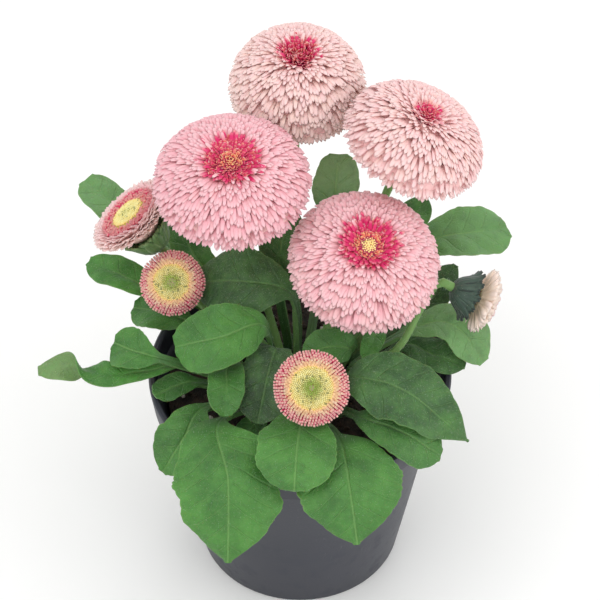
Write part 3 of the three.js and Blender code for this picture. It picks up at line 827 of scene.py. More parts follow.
# %% Leaf finishes
def leaf_finish(name, bright, deep, vein, below):
    """The green of one face of the leaves. below is 1 for the underside, else 0."""
    green = Finish(name)
    across, along, edge = green.parts(green.attribute("blade"))
    painted_shading, width, blade = green.parts(green.attribute("painted_shading"))
    reach = across.size()
    wobble = green.noise(90, 2) * 2.2
    branch = (along - reach * VEIN_SLOPE + reach * reach * 0.012 + wobble - 1.1) / VEIN_PITCH
    near_branch = branch.sum("PINGPONG", branch, 0.5)
    side_vein = (1 - near_branch.rise(0.015, 0.075)) * reach.rise(0.2, 1.5)
    side_vein = side_vein * (1 - edge.rise(0.72, 0.98)) * blade
    midrib = (1 - reach.rise(0.15, 0.7)) * (1 - (along / (width * 2.2)).rise(0.6, 1.0))
    net = (1 - green.cell_edges(520).rise(0.0, 0.09)) * blade
    blotch = green.noise(75, 3)
    glint_speckle = green.noise(1900, 1)
    margin = edge.rise(0.965, 0.995)
    flesh = green.mix(blotch.rise(0.3, 0.7), bright[0], bright[1])
    shade = green.mix(blotch.rise(0.3, 0.7), deep[0], deep[1])
    # Painted shade and light: the per-leaf value darkens a leaf towards the greens of a leaf in shade, and
    # below 0 paints it paler, as if lit.
    flesh = green.mix(painted_shading, flesh, shade)
    flesh = green.mix(painted_shading * -1, flesh, colour(134, 172, 120))
    mottle = green.noise(300, 3)
    flesh = green.mix(mottle - 0.44, flesh, colour(104, 160, 78))
    flesh = green.mix((0.5 - mottle) * 1.1, flesh, colour(34, 62, 34))
    stalk = 1 - blade.rise(0.0, 0.7)
    # Painted shade: the stalks are painted dark green, for the shade that the leaves and heads cast on them.
    flesh = green.mix(stalk * 0.55, flesh, colour(58, 88, 50))
    flesh = green.mix(midrib * blade * (0.34 - painted_shading * 0.16), flesh, vein)
    flesh = green.mix(side_vein * (0.1 - painted_shading * 0.04), flesh, vein)
    flesh = green.mix(net * 0.07, flesh, vein)
    flesh = green.mix(margin * 0.25, flesh, vein)
    # Painted highlight: small pale specks stand for light glinting on the hairs, more on the darker leaves.
    flesh = green.mix(glint_speckle.rise(0.62, 0.75) * (0.08 + painted_shading * 0.12), flesh, colour(190, 205, 185))
    sunk = midrib * 0.7 + side_vein * 0.55 + net * 0.22
    relief = (sunk if below else sunk * -1) + blotch * 0.6 + glint_speckle * 0.12
    return green.paint(flesh, 0.36 + mottle * 0.3, relief, 0.0004,
                       specular_ior_level=0.45, subsurface_weight=0.08, subsurface_scale=0.002,
                       sheen_weight=0.06, sheen_roughness=0.5)


# Each face has a pair of greens for a lit leaf and a darker pair, the painted shade of a leaf in shadow.
leaf_above = leaf_finish("leaf_upper_face", (colour(76, 140, 52), colour(54, 112, 38)),
                         (colour(62, 96, 52), colour(40, 70, 38)), colour(132, 176, 100), 0)
leaf_below = leaf_finish("leaf_underside", (colour(122, 154, 92), colour(106, 140, 82)),
                         (colour(98, 128, 84), colour(86, 112, 76)), colour(164, 190, 128), 1)
print("leaf greens mixed")

# %% [markdown]
# Daisy leaves and stems carry short white hairs, easy to see along an edge against the light. A
# hair is a three-sided cone, tapered to a point. Hairs are strewn over the faces of a piece by
# area, a little tilted.

# %% Hairs
HAIR_WIDTH = 0.075
HAIR_ROOT = 0.06
HAIR_TILT = 0.5

hair_cone = start("hair", bpy.ops.mesh.primitive_cone_add,
                  vertices=3, radius1=0.5, radius2=0, depth=1, location=(0, 0, 0.5))
bpy.ops.object.transform_apply()
hair_shape = shape_of(hair_cone)
hair_finish = Finish("white_hair")
tip_share = hair_finish.parts(hair_finish.attribute("hair"))[0]
hair_paint = hair_finish.paint(hair_finish.mix(tip_share, colour(150, 180, 130), colour(236, 240, 230)),
                               0.6, subsurface_weight=0.2, subsurface_scale=0.001)


def hairs_on(piece, count, tall, seed, allow=None):
    """A mesh of hairs on the faces of a piece that pass the test allow."""
    rng = random.Random(seed)
    faces = [face for face in piece.data.polygons if allow is None or allow(face)]
    areas = np.cumsum([face.area for face in faces])
    laid = []
    for n in range(count):
        face = faces[int(np.searchsorted(areas, rng.random() * areas[-1]))]
        corners = [np.array(piece.data.vertices[i].co) / MM for i in face.vertices]
        shares = np.array([rng.random() + 0.05 for _ in corners])
        foot = sum(c * w for c, w in zip(corners, shares)) / shares.sum()
        out = unit(np.array(face.normal) + np.array([rng.uniform(-HAIR_TILT, HAIR_TILT) for _ in range(3)]))
        side = unit(np.cross(out, (0.3, 0.5, 0.8)))
        long = tall * rng.uniform(0.6, 1.2)
        base = hair_shape[0]
        wide = np.outer(base[:, 0] * HAIR_WIDTH, side)
        deep = np.outer(base[:, 1] * HAIR_WIDTH, np.cross(out, side))
        laid.append(foot - out * HAIR_ROOT + wide + deep + np.outer(base[:, 2] * long, out))
    marks = np.tile(np.column_stack([hair_shape[0][:, 2], np.zeros((len(hair_shape[0]), 2))]), (count, 1))
    hairs = copies(piece.name + "_hairs", hair_shape, np.array(laid), {"hair": marks})
    hairs.data.materials.append(hair_paint)
    return hairs


print("hair faces:", len(hair_shape[1]))

# %% [markdown]
# The hairs go on after Solidify, so that both faces and the margin have them. The far end of the
# twisted leaf is the part's outermost place on the left, and has none, so that the part stays as
# wide as its solids.

# %% Leaves finished
LEAF_HAIRS_PER_MM2 = 0.42
LEAF_HAIR = 0.55
LEAF_HAIR_SEED = 400
HAIRLESS_END = -93
SOFT_EDGE = math.radians(70)

for i, leaf in enumerate(LEAVES):
    piece = leaf_pieces[leaf["name"]]
    piece.data.materials.append(leaf_above)
    piece.data.materials.append(leaf_below)
    finish_with(piece, "SOLIDIFY", thickness=PETIOLE_THICK * MM, offset=-1, vertex_group="thickness",
                material_offset=1, material_offset_rim=0)
    piece.vertex_groups.clear()
    bpy.ops.object.shade_smooth_by_angle(angle=SOFT_EDGE)
    area = sum(face.area for face in piece.data.polygons) / MM**2
    above_soil = (SOIL_TOP + 2) * MM
    hairs = hairs_on(piece, int(area * LEAF_HAIRS_PER_MM2), LEAF_HAIR, LEAF_HAIR_SEED + i,
                     lambda face: face.center.z > above_soil and face.center.x > HAIRLESS_END * MM)
    hand_over(join(piece, hairs), "leaf", leaf["name"])

# %% [markdown]
# A flower head is hundreds of small florets on a dome. The rays are straps with a round tip and a
# shallow channel. On a button and round an open disc they are rolled into quills with a round
# mouth. The disc florets are tiny buds. Each is modelled once, lying along y, one long.

# %% The strap of a ray floret
RAY_ROWS = 7
RAY_WIDTHS = [0.45, 0.62, 0.82, 0.93, 0.98, 1.0, 0.98, 0.74]
RAY_CHANNEL = 0.09
RAY_THICK = 0.09
TIP_ROUNDING = 0.035

ray = start("ray_floret", bpy.ops.mesh.primitive_grid_add, x_subdivisions=2, y_subdivisions=RAY_ROWS,
            size=1, location=(0, 0.5, 0))
bpy.ops.object.transform_apply()
bpy.ops.object.mode_set(mode="EDIT")
for i, share in enumerate(RAY_WIDTHS):
    select_where(ray, lambda spot: abs(spot.y - i / RAY_ROWS) < 0.01)
    bpy.ops.transform.resize(value=(share, 1, 1), center_override=(0, i / RAY_ROWS, 0))
select_where(ray, lambda spot: abs(spot.x) < 0.01 and spot.y < 0.9)
bpy.ops.transform.translate(value=(0, 0, -RAY_CHANNEL))
select_where(ray, lambda spot: spot.y > 0.99 and abs(spot.x) > 0.01)
bpy.ops.transform.translate(value=(0, -TIP_ROUNDING, 0))
bpy.ops.object.mode_set(mode="OBJECT")
finish_with(ray, "SOLIDIFY", thickness=RAY_THICK, offset=0)
ray_shape = shape_of(ray)
print("ray faces:", len(ray_shape[1]))

# %% The quill and the disc floret
QUILL_SIDES = 6
QUILL_FOOT = 0.3
QUILL_STEPS = ((0.45, 0.36), (0.35, 0.46), (0.15, 0.5), (0.05, 0.4), (-0.07, 0.24))

quill = start("quill_floret", bpy.ops.mesh.primitive_circle_add,
              vertices=QUILL_SIDES, radius=QUILL_FOOT, fill_type="NGON", rotation=(math.pi / 2, 0, 0))
bpy.ops.object.transform_apply()
bpy.ops.object.mode_set(mode="EDIT")
girth = QUILL_FOOT
for forward, wider in QUILL_STEPS:
    bpy.ops.mesh.extrude_region_move(TRANSFORM_OT_translate={"value": (0, forward, 0)})
    cage = bmesh.from_edit_mesh(quill.data)
    reach = np.mean([point.co.y for point in cage.verts if point.select])
    bpy.ops.transform.resize(value=(wider / girth, 1, wider / girth), center_override=(0, reach, 0))
    girth = wider
bpy.ops.mesh.select_all(action="SELECT")
bpy.ops.mesh.normals_make_consistent(inside=False)
bpy.ops.object.mode_set(mode="OBJECT")
quill_shape = shape_of(quill)

bud = start("disc_floret", bpy.ops.mesh.primitive_ico_sphere_add, subdivisions=1, radius=0.5,
            location=(0, 0.5, 0))
bpy.ops.object.transform_apply()
bud_shape = shape_of(bud)
print("quill faces:", len(quill_shape[1]), "disc floret faces:", len(bud_shape[1]))

# %% [markdown]
# A floret leaves the middle of the head, curves over and ends on the dome. Four points steer that
# curve: the foot, a pull upwards, a pull back from the tip, and the tip. Every copy is bent along
# its own curve, and keeps notes for the paint: how far along it each point is, and its dye.

# %% Laying florets along their curves
class Florets:
    """Florets of one shape, gathered for one head, in the head's own frame."""

    def __init__(self, shape):
        self.shape = shape
        self.rows = []

    def add(self, turn, foot, pull, back, tip, width, depth, roll, dye):
        """The four places are (outwards, upwards) in mm at a turn about the head's axis."""
        self.rows.append((turn, foot, pull, back, tip, width, depth, roll, dye))

    def mesh(self, name, rotation, centre):
        points = self.shape[0]
        t = points[:, 1][None, :, None]
        turn = np.array([row[0] for row in self.rows])
        outward = np.column_stack([np.cos(turn), np.sin(turn), np.zeros(len(turn))])
        steer = [np.array([row[i] for row in self.rows]) for i in range(1, 5)]
        a, b, c, d = (p[:, :1] * outward + p[:, 1:] * UP for p in steer)
        a, b, c, d = (p[:, None, :] for p in (a, b, c, d))
        middle = a * (1 - t) ** 3 + 3 * b * t * (1 - t) ** 2 + 3 * c * t**2 * (1 - t) + d * t**3
        along = 3 * ((b - a) * (1 - t) ** 2 + 2 * (c - b) * t * (1 - t) + (d - c) * t**2)
        along /= np.linalg.norm(along, axis=2, keepdims=True)
        flat = np.column_stack([np.sin(turn), -np.cos(turn), np.zeros(len(turn))])[:, None, :]
        face = np.cross(flat, along)
        roll = np.array([row[7] for row in self.rows])[:, None, None]
        side = flat * np.cos(roll) + face * np.sin(roll)
        face = np.cross(side, along)
        width = np.array([row[5] for row in self.rows])[:, None, None]
        depth = np.array([row[6] for row in self.rows])[:, None, None]
        sideways = side * width * points[:, 0][None, :, None]
        upwards = face * depth * points[:, 2][None, :, None]
        laid = (middle + sideways + upwards) @ rotation.T + centre
        count = len(self.rows)
        rng = random.Random(len(name) + count)
        chance = np.repeat([rng.random() for _ in range(count)], len(points))
        floret = np.column_stack([np.tile(points[:, 1], count), np.tile(points[:, 0], count), chance])
        dye = np.repeat(np.array([row[8] for row in self.rows]), len(points), axis=0)
        return copies(name, self.shape, laid, {"floret": floret, "dye": dye})


print("florets can be laid")

# %% [markdown]
# One paint serves rays and quills. The dye's first number is crimson, the second rose against
# cream, the third yellow. Crimson starts at the foot and reaches the tip only near the eye; the
# tips are nearly white; a deeper line runs in each channel.

# %% Petal finish
petal = Finish("petals")
along, across, chance = petal.parts(petal.attribute("floret"))
crimson, rose, yellow = petal.parts(petal.attribute("dye"))
fleck = petal.noise(1500, 2)
rose_here = rose + (chance - 0.5) * 0.3 + (fleck - 0.5) * 0.25
blush = petal.mix(rose_here, colour(252, 230, 212), colour(238, 162, 174))
paler = petal.mix(rose_here, colour(255, 240, 226), colour(243, 180, 188))
body = petal.mix((chance - 0.5) * 0.8 + 0.5, blush, paler)
root_shade = petal.mix(rose, colour(250, 222, 196), colour(242, 170, 184))
body = petal.mix(1 - along.rise(0.35, 0.85), body, root_shade)
tip_white = petal.mix(rose, colour(251, 238, 230), colour(249, 212, 218))
body = petal.mix(along.rise(0.82, 1.0) * 0.5, body, tip_white)
channel = (1 - across.size().rise(0.0, 0.28)) * (1 - along.rise(0.82, 0.98))
body = petal.mix(channel * rose * 0.3, body, root_shade)
red = petal.mix(chance, colour(208, 20, 92), colour(232, 66, 122))
bead = along.rise(0.9, 0.98) * (1.1 - rose).at_least(chance.rise(0.55, 0.9) * 0.4)
red = petal.mix(bead, red, petal.mix(chance, colour(246, 196, 190), colour(250, 222, 200)))
body = petal.mix((crimson * 2.0 - along + (chance - 0.5) * 0.35).rise(0.0, 0.55), body, red)
gold = petal.mix(along.rise(0.6, 1.0), colour(244, 140, 112), colour(252, 208, 150))
body = petal.mix(yellow, body, gold)
petal_paint = petal.paint(body, 0.55, sheen_weight=0.05, specular_ior_level=0.22)
print("petal paint mixed")

# %% [markdown]
# The heads differ in age. Four are full domes of rays round a crimson eye, one is half open, two
# are young buttons of quills round a yellow disc, and one is seen from its side, with its green
# cup. Each row gives the head's place and facing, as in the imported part, and its own dyes. Crimson
# fades out between its two shares of the radius, and peach begins within the share that gold gives.
# Crater is the depth of the hollow, disc the share of the radius that disc florets fill, and sunk
# how deep they sit.

# %% The heads
HEADS = [
    dict(name="left_bloom", form="full", at=(-24, 26, 68), facing=(0, -0.19, 0.98), radius=28.5,
         dome=0.58, eye=0.36, root=(-6, 8), via=[(-15, 27, 18), (-22, 34, 38)],
         rose=(1.0, 0.95), crimson=(0.34, 0.54), crater=4.2, gold=0.13, disc=0.0),
    dict(name="back_bloom", form="full", at=(-1, 72, 72), facing=(0.03, -0.14, 0.99), radius=25.5,
         dome=0.9, eye=0.34, root=(-1, 12), via=[(-2, 46, 34)],
         rose=(0.3, 0.6), crimson=(0.24, 0.42), crater=1.6, gold=0.0, disc=0.0),
    dict(name="front_bloom", form="full", at=(22.5, 8, 46), facing=(0.11, -0.33, 0.94), radius=27.5,
         dome=0.65, eye=0.36, root=(5, 3), via=[(15, 13, 18)],
         rose=(0.85, 0.9), crimson=(0.36, 0.54), crater=3.0, gold=0.18, disc=0.12),
    dict(name="right_bloom", form="full", at=(40, 42.5, 72), facing=(0.35, -0.03, 0.94), radius=26.5,
         dome=0.68, eye=0.26, root=(5, 10), via=[(25, 37, 32)],
         rose=(0.55, 0.6), crimson=(0.12, 0.28), crater=1.4, gold=0.0, disc=0.0),
    dict(name="left_half_open", form="half", at=(-60.5, 35.5, 42), facing=(-0.6, 0.11, 0.79), radius=17,
         dome=0.3, eye=0.5, disc=0.4, sunk=1.1, root=(-9, 10), via=[(-22, 20, 6), (-40, 30, 22)]),
    dict(name="left_button", form="button", at=(-46, 19, 25), facing=(-0.11, -0.64, 0.76), radius=12,
         dome=0.42, eye=0.6, root=(-9, 4), via=[(-29, 15, 10)]),
    dict(name="front_button", form="button", at=(4, -33, 25), facing=(0.03, -0.66, 0.74), radius=13.5,
         dome=0.42, eye=0.62, root=(2, -5), via=[]),
    dict(name="side_bloom", form="bud", at=(66, 7.5, 27), facing=(0.89, -0.08, -0.45), radius=12,
         dome=0.3, eye=0.4, root=(13, -2), via=[(35, -3, 14), (43, 5, 26)]),
]
# The share of the radius that the highest petals grow from, the depth of the underside as a share
# of it, and the cup: its depth in mm and the share of the radius that its bracts reach. Where the
# bracts hug a deep underside, their tips are lifted by so many mm and sloped by so many degrees.
FORMS = {
    "full": dict(core=0.84, foot=0.26, cup=(5, 0.46)),
    "button": dict(core=0.8, foot=0.4, cup=(5, 0.46)),
    "half": dict(core=0.78, foot=0.55, cup=(6, 0.6), hug=(4.2, 50)),
    "bud": dict(core=0.78, foot=0.35, cup=(8, 0.85)),
}
GAP = 0.3
SUNK_DISC = 0.5
PULL_SHARE, BACK_SHARE = 0.38, 0.42


def head_frame(head):
    """The turn of a head's own frame and the place of its middle."""
    facing = Vector(head["facing"]).normalized()
    turn = Vector((0, 0, 1)).rotation_difference(facing)
    return np.array(turn.to_matrix()), place(*head["at"])


def seat_of(head):
    """The height of the flat place that the eye sits on, above the widest ring."""
    top = FORMS[head["form"]]["core"]
    return top * head["dome"] * head["radius"] * math.sqrt(1 - (head["eye"] / top) ** 2)


def lerp(first, second, share):
    return first + (second - first) * share


def ray_at(reach, height, angle, foot, start_angle):
    """The four steering places of a floret that ends at a tip, at an angle above level."""
    tip = np.array((reach, height))
    foot = np.array(foot)
    far = np.linalg.norm(tip - foot)
    pull = foot + PULL_SHARE * far * np.array((math.cos(start_angle), math.sin(start_angle)))
    back = tip - BACK_SHARE * far * np.array((math.cos(angle), math.sin(angle)))
    return foot, pull, back, tip


def straight(foot, tip):
    foot, tip = np.array(foot), np.array(tip)
    return foot, lerp(foot, tip, 1 / 3), lerp(foot, tip, 2 / 3), tip


print("heads:", len(HEADS))

# %% [markdown]
# On a full head the rays stand in rings, from drooping ones under the rim to upright ones beside
# the eye. Rings are a few millimetres apart, and each stands half a step round from the last. Tips
# stray by nearly a ring's width, so that the dome is shingled like the real one and the rings
# don't show. A ray under the rim points outwards, and higher ones lie back on the dome.

# %% Rays of a full head
LOWEST_RAY = math.radians(-14)
PETAL_TOP = 0.975
RING_STEP = (4.2, 2.4)
TIP_PITCH = (1.5, 1.0)
RAY_WIDTH = (1.95, 1.35)
UNDERSIDE = 0.45
RIM_BEND, DOME_BEND, EYE_BEND = 18, 67, 28


def full_rays(head, seed):
    rng = random.Random(seed)
    rays = Florets(ray_shape)
    wide, tall = head["radius"], PETAL_TOP * head["dome"] * head["radius"]
    highest = math.acos(head["eye"] * 1.02)
    level, ring = LOWEST_RAY, 0
    while level < highest:
        share = (level - LOWEST_RAY) / (highest - LOWEST_RAY)
        count = round(FULL_TURN * wide * math.cos(level) / lerp(*TIP_PITCH, share))
        step = lerp(*RING_STEP, share) / math.hypot(wide * math.sin(level), tall * math.cos(level))
        for j in range(count):
            here = level + rng.uniform(-0.3 if ring == 0 else -0.9, 0.9) * step
            turn = FULL_TURN * (j + 0.5 * (ring % 2) + rng.uniform(-0.25, 0.25)) / count
            stretch = 1 - rng.uniform(0.0, lerp(0.045, 0.02, min(1, 4 * share)))
            height = (tall if here > 0 else UNDERSIDE * wide) * math.sin(here)
            facing = math.atan2(math.sin(here) / tall, math.cos(here) / wide) if here > 0 else here
            bend = RIM_BEND + DOME_BEND * rise(share, 0.02, 0.34) - EYE_BEND * rise(share, 0.78, 1.0)
            angle = facing - math.radians(float(bend + rng.uniform(-4, 4)))
            foot = (lerp(0.22, 0.12, share) * wide, lerp(-0.2 * wide, 0.35 * tall, share))
            reach = wide * math.cos(here) * stretch
            steer = ray_at(reach, height * stretch, angle, foot, math.radians(lerp(35, 78, share)))
            width = lerp(*RAY_WIDTH, share) * rng.uniform(0.88, 1.12)
            blush = 1 - float(rise(math.cos(here) + rng.uniform(-0.07, 0.07), *head["crimson"]))
            dye = (blush, lerp(*head["rose"], share), 0)
            rays.add(turn, *steer, width, width, math.radians(rng.uniform(-9, 9)), dye)
        level += step
        ring += 1
    return rays


# %% [markdown]
# The eye of a full head is a tuft of narrow crimson rays that stand nearly upright, each turned
# its own way. It is highest at its edge, with a hollow in the middle. In the two open ones the
# hollow's wall is peach, and one has a few yellow disc florets on its floor.

# %% Eye of a full head
TUFT_PITCH = 0.98
TUFT_RING_STEP = 0.92 * TUFT_PITCH
TUFT_WIDTH = 0.95
EYE_BUDS = 58
GOLDEN_TURN = math.pi * (3 - math.sqrt(5))


def full_eye(head, seed):
    rng = random.Random(seed)
    tuft = Florets(ray_shape)
    buds = Florets(bud_shape)
    wide, tall, eye = head["radius"], PETAL_TOP * head["dome"] * head["radius"], head["eye"]
    seat = seat_of(head) + GAP
    reach = eye * wide - GAP
    while reach > max(head["disc"] * wide + 0.5, 0.5):
        count = max(3, round(FULL_TURN * reach / TUFT_PITCH))
        for j in range(count):
            turn = FULL_TURN * (j + rng.random()) / count
            share = reach / (eye * wide)
            level = tall * math.sqrt(1 - (share * eye) ** 2) - head["crater"] * (1 - share) ** 0.8 - 0.5
            tip = (reach + rng.uniform(-0.5, 0.5), max(level + rng.uniform(-1.1, 0.1), seat + 1.0))
            foot = (max(0.2, reach - 2.2 * share), seat)
            here = share * eye + rng.uniform(-0.05, 0.05)
            gold = 1 - float(rise(here, head["gold"] - 0.05, head["gold"] + 0.05))
            here = share * eye + rng.uniform(-0.07, 0.07)
            blush = (1 - float(rise(here, *head["crimson"]))) * rng.uniform(0.55, 1.0)
            dye = (blush, 0.9, max(gold, 0.4 * rng.random() ** 2))
            steer = ray_at(*tip, math.radians(lerp(84, 42, share)), foot, math.radians(78))
            width = TUFT_WIDTH * rng.uniform(0.8, 1.35)
            tuft.add(turn, *steer, width, TUFT_WIDTH * 1.4, math.radians(rng.uniform(-50, 50)), dye)
        reach -= TUFT_RING_STEP
    if head["disc"]:
        bottom = tall - head["crater"] - 0.4
        for n in range(EYE_BUDS):
            out = head["disc"] * wide * math.sqrt(n / EYE_BUDS)
            top = bottom + 0.7 * (1 - n / EYE_BUDS) + rng.uniform(-0.1, 0.15)
            steer = straight((out, top - 1.6), (out * 1.03, top))
            buds.add(n * GOLDEN_TURN, *steer, 1.05, 1.05, 0, (0, 1, 1))
    return tuft, buds


# %% [markdown]
# A young button is a low cushion: rows of club-shaped quills round a broad disc. The quills are
# crimson with a pale open mouth, so that the edge looks beaded. The disc florets stand in spirals
# and are green in the middle, where they haven't opened.

# %% Quills and disc of a button
BEAD_PITCH = 1.12
BEAD_ROWS = (1.0, 0.935, 0.87, 0.805, 0.745, 0.685, 0.63)
BEAD_WIDTH = 0.98
BUD_PITCH = 0.62
BUD_DEPTH = 1.3


def button_quills(head, seed):
    rng = random.Random(seed)
    quills = Florets(quill_shape)
    wide, tall = head["radius"], head["dome"] * head["radius"]
    for row, share in enumerate(BEAD_ROWS):
        count = round(FULL_TURN * share * wide / BEAD_PITCH)
        inside = row / (len(BEAD_ROWS) - 1)
        for j in range(count):
            turn = FULL_TURN * (j + 0.5 * (row % 2) + rng.uniform(-0.15, 0.15)) / count
            out = share * wide * (1 + rng.uniform(-0.02, 0.012))
            level = tall * math.sqrt(max(0, 1 - min(share, 0.995) ** 2)) + rng.uniform(-0.25, 0.25)
            foot = (0.4 * share * wide, lerp(-0.3 * wide, 0, inside))
            angle = math.radians(lerp(4, 68, inside) + rng.uniform(-6, 6))
            steer = ray_at(out, level, angle, foot, math.radians(lerp(20, 70, inside)))
            fade = float(rise(inside + rng.uniform(-0.15, 0.15), 0.35, 0.95))
            dye = (1 - 0.8 * fade, lerp(0.35, 0.0, fade), 0.75 * fade)
            quills.add(turn, *steer, BEAD_WIDTH * rng.uniform(0.88, 1.1), BEAD_WIDTH, 0, dye)
    return quills


def disc_buds(head, seed, green):
    """The disc florets. green is how green the middle is, from 0 to 1."""
    rng = random.Random(seed)
    buds = Florets(bud_shape)
    wide, tall = head["radius"], head["dome"] * head["radius"]
    reach = head.get("disc", head["eye"]) * wide - GAP
    count = round(math.pi * reach**2 / BUD_PITCH**2)
    for n in range(count):
        share = math.sqrt(n / count)
        out = reach * share
        level = tall * math.sqrt(1 - (0.97 * share * head["eye"]) ** 2) - 0.5 * green * (1 - share) ** 2
        level += rng.uniform(-0.12, 0.12) - head.get("sunk", SUNK_DISC)
        tilt = 0.28 * share
        size = lerp(0.5, 0.78, share) * rng.uniform(0.85, 1.15)
        fresh = green * float(1 - rise(share + rng.uniform(-0.08, 0.08), 0.15, 0.62))
        steer = straight((out - BUD_DEPTH * tilt, level - BUD_DEPTH), (out, level))
        buds.add(n * GOLDEN_TURN, *steer, size, size, 0, (fresh, rng.random(), share))
    return buds


# %% [markdown]
# The half-open head shows its rays from the side: fine straps that rise from a deep cup, then
# beaded crimson quills, then the disc. The small head seen from its side has straps and a disc.

# %% Rays of the half-open and side heads
RING_BEAD_WIDTH = 1.05


def open_rays(head, seed, rings, pitch, dyes):
    """Rings of straps: share of the radius, height as a share of it, angle of the tip."""
    rng = random.Random(seed)
    rays = Florets(ray_shape)
    wide, deep = head["radius"], FORMS[head["form"]]["foot"] * head["radius"]
    for ring, (share, height, angle) in enumerate(rings):
        count = round(FULL_TURN * share * wide / pitch)
        for j in range(count):
            turn = FULL_TURN * (j + 0.5 * (ring % 2) + rng.uniform(-0.3, 0.3)) / count
            foot = (0.3 * wide, -deep * 0.85)
            tip = (share * wide * (1 + rng.uniform(-0.05, 0.02)), height * wide + rng.uniform(-0.5, 0.5))
            steer = ray_at(*tip, math.radians(angle + rng.uniform(-8, 8)), foot, math.radians(48))
            width = 1.5 * pitch * rng.uniform(0.85, 1.15)
            rays.add(turn, *steer, width, width, math.radians(rng.uniform(-20, 20)), dyes[ring])
    return rays


def ring_quills(head, seed, rows):
    """Rows of quills: share of the radius, height as a share of it, angle of the tip."""
    rng = random.Random(seed)
    quills = Florets(quill_shape)
    wide = head["radius"]
    for row, (share, height, angle) in enumerate(rows):
        count = round(FULL_TURN * share * wide / BEAD_PITCH)
        for j in range(count):
            turn = FULL_TURN * (j + 0.5 * (row % 2) + rng.uniform(-0.2, 0.2)) / count
            tip = (share * wide + rng.uniform(-0.3, 0.3), height * wide + rng.uniform(-0.5, 0.4))
            steer = ray_at(*tip, math.radians(angle), (0.34 * wide, -0.2 * wide), math.radians(60))
            width = RING_BEAD_WIDTH * rng.uniform(0.85, 1.1)
            dye = (0.75 + 0.25 * rng.random(), 0.6, 0.35 * rng.random() * row / len(rows))
            quills.add(turn, *steer, width, RING_BEAD_WIDTH, 0, dye)
    return quills


print("head shapes are ready")

# %% [markdown]
# Under the florets is a solid middle, so that no light shows through the head. It has a rough
# paint of two tones. The disc florets have their own paint: green in the middle, then yellow, with
# a darker foot.

# %% Middle of a head and disc paint
def middle_of(head, name, wide, high, low, centre_height):
    """A closed dome inside a head: wide and high in mm, and as deep below as low."""
    rotation, centre = head_frame(head)
    piece = start(name, bpy.ops.mesh.primitive_uv_sphere_add, segments=28, ring_count=14, radius=1)
    for point in piece.data.vertices:
        local = np.array(point.co) * (wide, wide, high if point.co.z > 0 else low)
        local[2] += centre_height
        point.co = (rotation @ local + centre) * MM
    piece.data.shade_smooth()
    return piece


def two_tone_paint(name, first, second, scale, depth):
    finish = Finish(name)
    patch = finish.noise(scale, 2)
    return finish.paint(finish.mix(patch, first, second), 0.8, patch, depth)


core_paint = two_tone_paint("petal_bases", colour(244, 188, 192), colour(250, 212, 206), 700, 0.0006)
disc = Finish("disc_florets")
along, _, chance = disc.parts(disc.attribute("floret"))
fresh, tint, out = disc.parts(disc.attribute("dye"))
gold = disc.mix(chance * 0.7 + tint * 0.3, colour(246, 230, 140), colour(255, 250, 194))
gold = disc.mix(out.rise(0.75, 1.0) * 0.4, gold, colour(250, 204, 104))
gold = disc.mix(fresh, gold, disc.mix(chance, colour(168, 206, 88), colour(206, 226, 122)))
gold = disc.mix(1 - along.rise(0.25, 0.75), gold, disc.mix(fresh, colour(180, 160, 70), colour(120, 156, 56)))
gold = disc.mix(chance.rise(0.94, 0.96) * 0.7, gold, colour(116, 122, 52))
disc_paint = disc.paint(gold, 0.65, disc.noise(2600, 1), 0.0001)
seat_paint = two_tone_paint("disc_seat", colour(176, 168, 78), colour(206, 190, 104), 900, 0.0004)
red_seat_paint = two_tone_paint("eye_seat", colour(140, 18, 62), colour(184, 48, 92), 900, 0.0004)
print("disc paint mixed")

# %% [markdown]
# Now each head is put together. Its petals, with the solid middle, take the place of one packed
# solid, and its eye or disc, on a thin seat, takes the place of the next.

# %% Petals and heart of a full head
PETAL_SEED, QUILL_SEED, EYE_SEED, DISC_SEED = 20, 30, 40, 60
HOLLOW_ROOM = 1.5


def painted(florets, name, head, paint):
    piece = florets.mesh(name, *head_frame(head))
    piece.data.materials.append(paint)
    return piece


def with_core(piece, head, paint, *sizes):
    core = middle_of(head, piece.name + "_middle", *sizes)
    core.data.materials.append(paint)
    return join(piece, core)


def full_head(head, i):
    name, wide, eye = head["name"], head["radius"], head["eye"]
    tall = head["dome"] * wide
    seat = seat_of(head) + GAP
    petals = painted(full_rays(head, PETAL_SEED + i), name + "_rays", head, petal_paint)
    under_hollow = PETAL_TOP * tall - head["crater"] - HOLLOW_ROOM
    petals = with_core(petals, head, core_paint, 0.9 * wide, min(0.8 * tall, under_hollow), 0.2 * wide, 0)
    tuft, buds = full_eye(head, EYE_SEED + i)
    heart = painted(tuft, name + "_eye", head, petal_paint)
    if buds.rows:
        heart = join(heart, painted(buds, name + "_disc", head, disc_paint))
    heart = with_core(heart, head, red_seat_paint, eye * wide - 0.9, 0.1, 0.1, seat + 0.1)
    hand_over(petals, "petal_pink", name + "_petals")
    hand_over(heart, "petal_crimson", name + "_heart")


print("full heads can be made")

# %% Petals and heart of the other heads
HALF_RINGS = [
    (0.86, -0.09, -10), (0.95, 0.0, 2), (1.0, 0.08, 12), (0.97, 0.13, 20), (0.91, 0.17, 28),
    (0.84, 0.19, 38), (0.76, 0.2, 48),
]
HALF_DYES = [
    (0, 0.35, 0), (0, 0.4, 0), (0, 0.4, 0), (0, 0.45, 0), (0, 0.5, 0), (0.1, 0.6, 0), (0.3, 0.7, 0),
]
HALF_QUILLS = [(0.66, 0.2, 56), (0.6, 0.2, 62), (0.54, 0.19, 68), (0.48, 0.19, 76), (0.43, 0.18, 84)]
HALF_PITCH = 1.35
BUD_RINGS = [
    (1.0, -0.04, 22), (0.93, 0.06, 34), (0.8, 0.14, 44), (0.66, 0.2, 56), (0.55, 0.22, 66),
    (0.46, 0.22, 76),
]
BUD_DYES = [(0, 0.02, 0), (0, 0.0, 0), (0, 0.1, 0), (0.1, 0.4, 0), (0.5, 0.6, 0), (0.6, 0.6, 0)]
BUD_RING_PITCH = 1.5
OLD_GREEN = 0.15


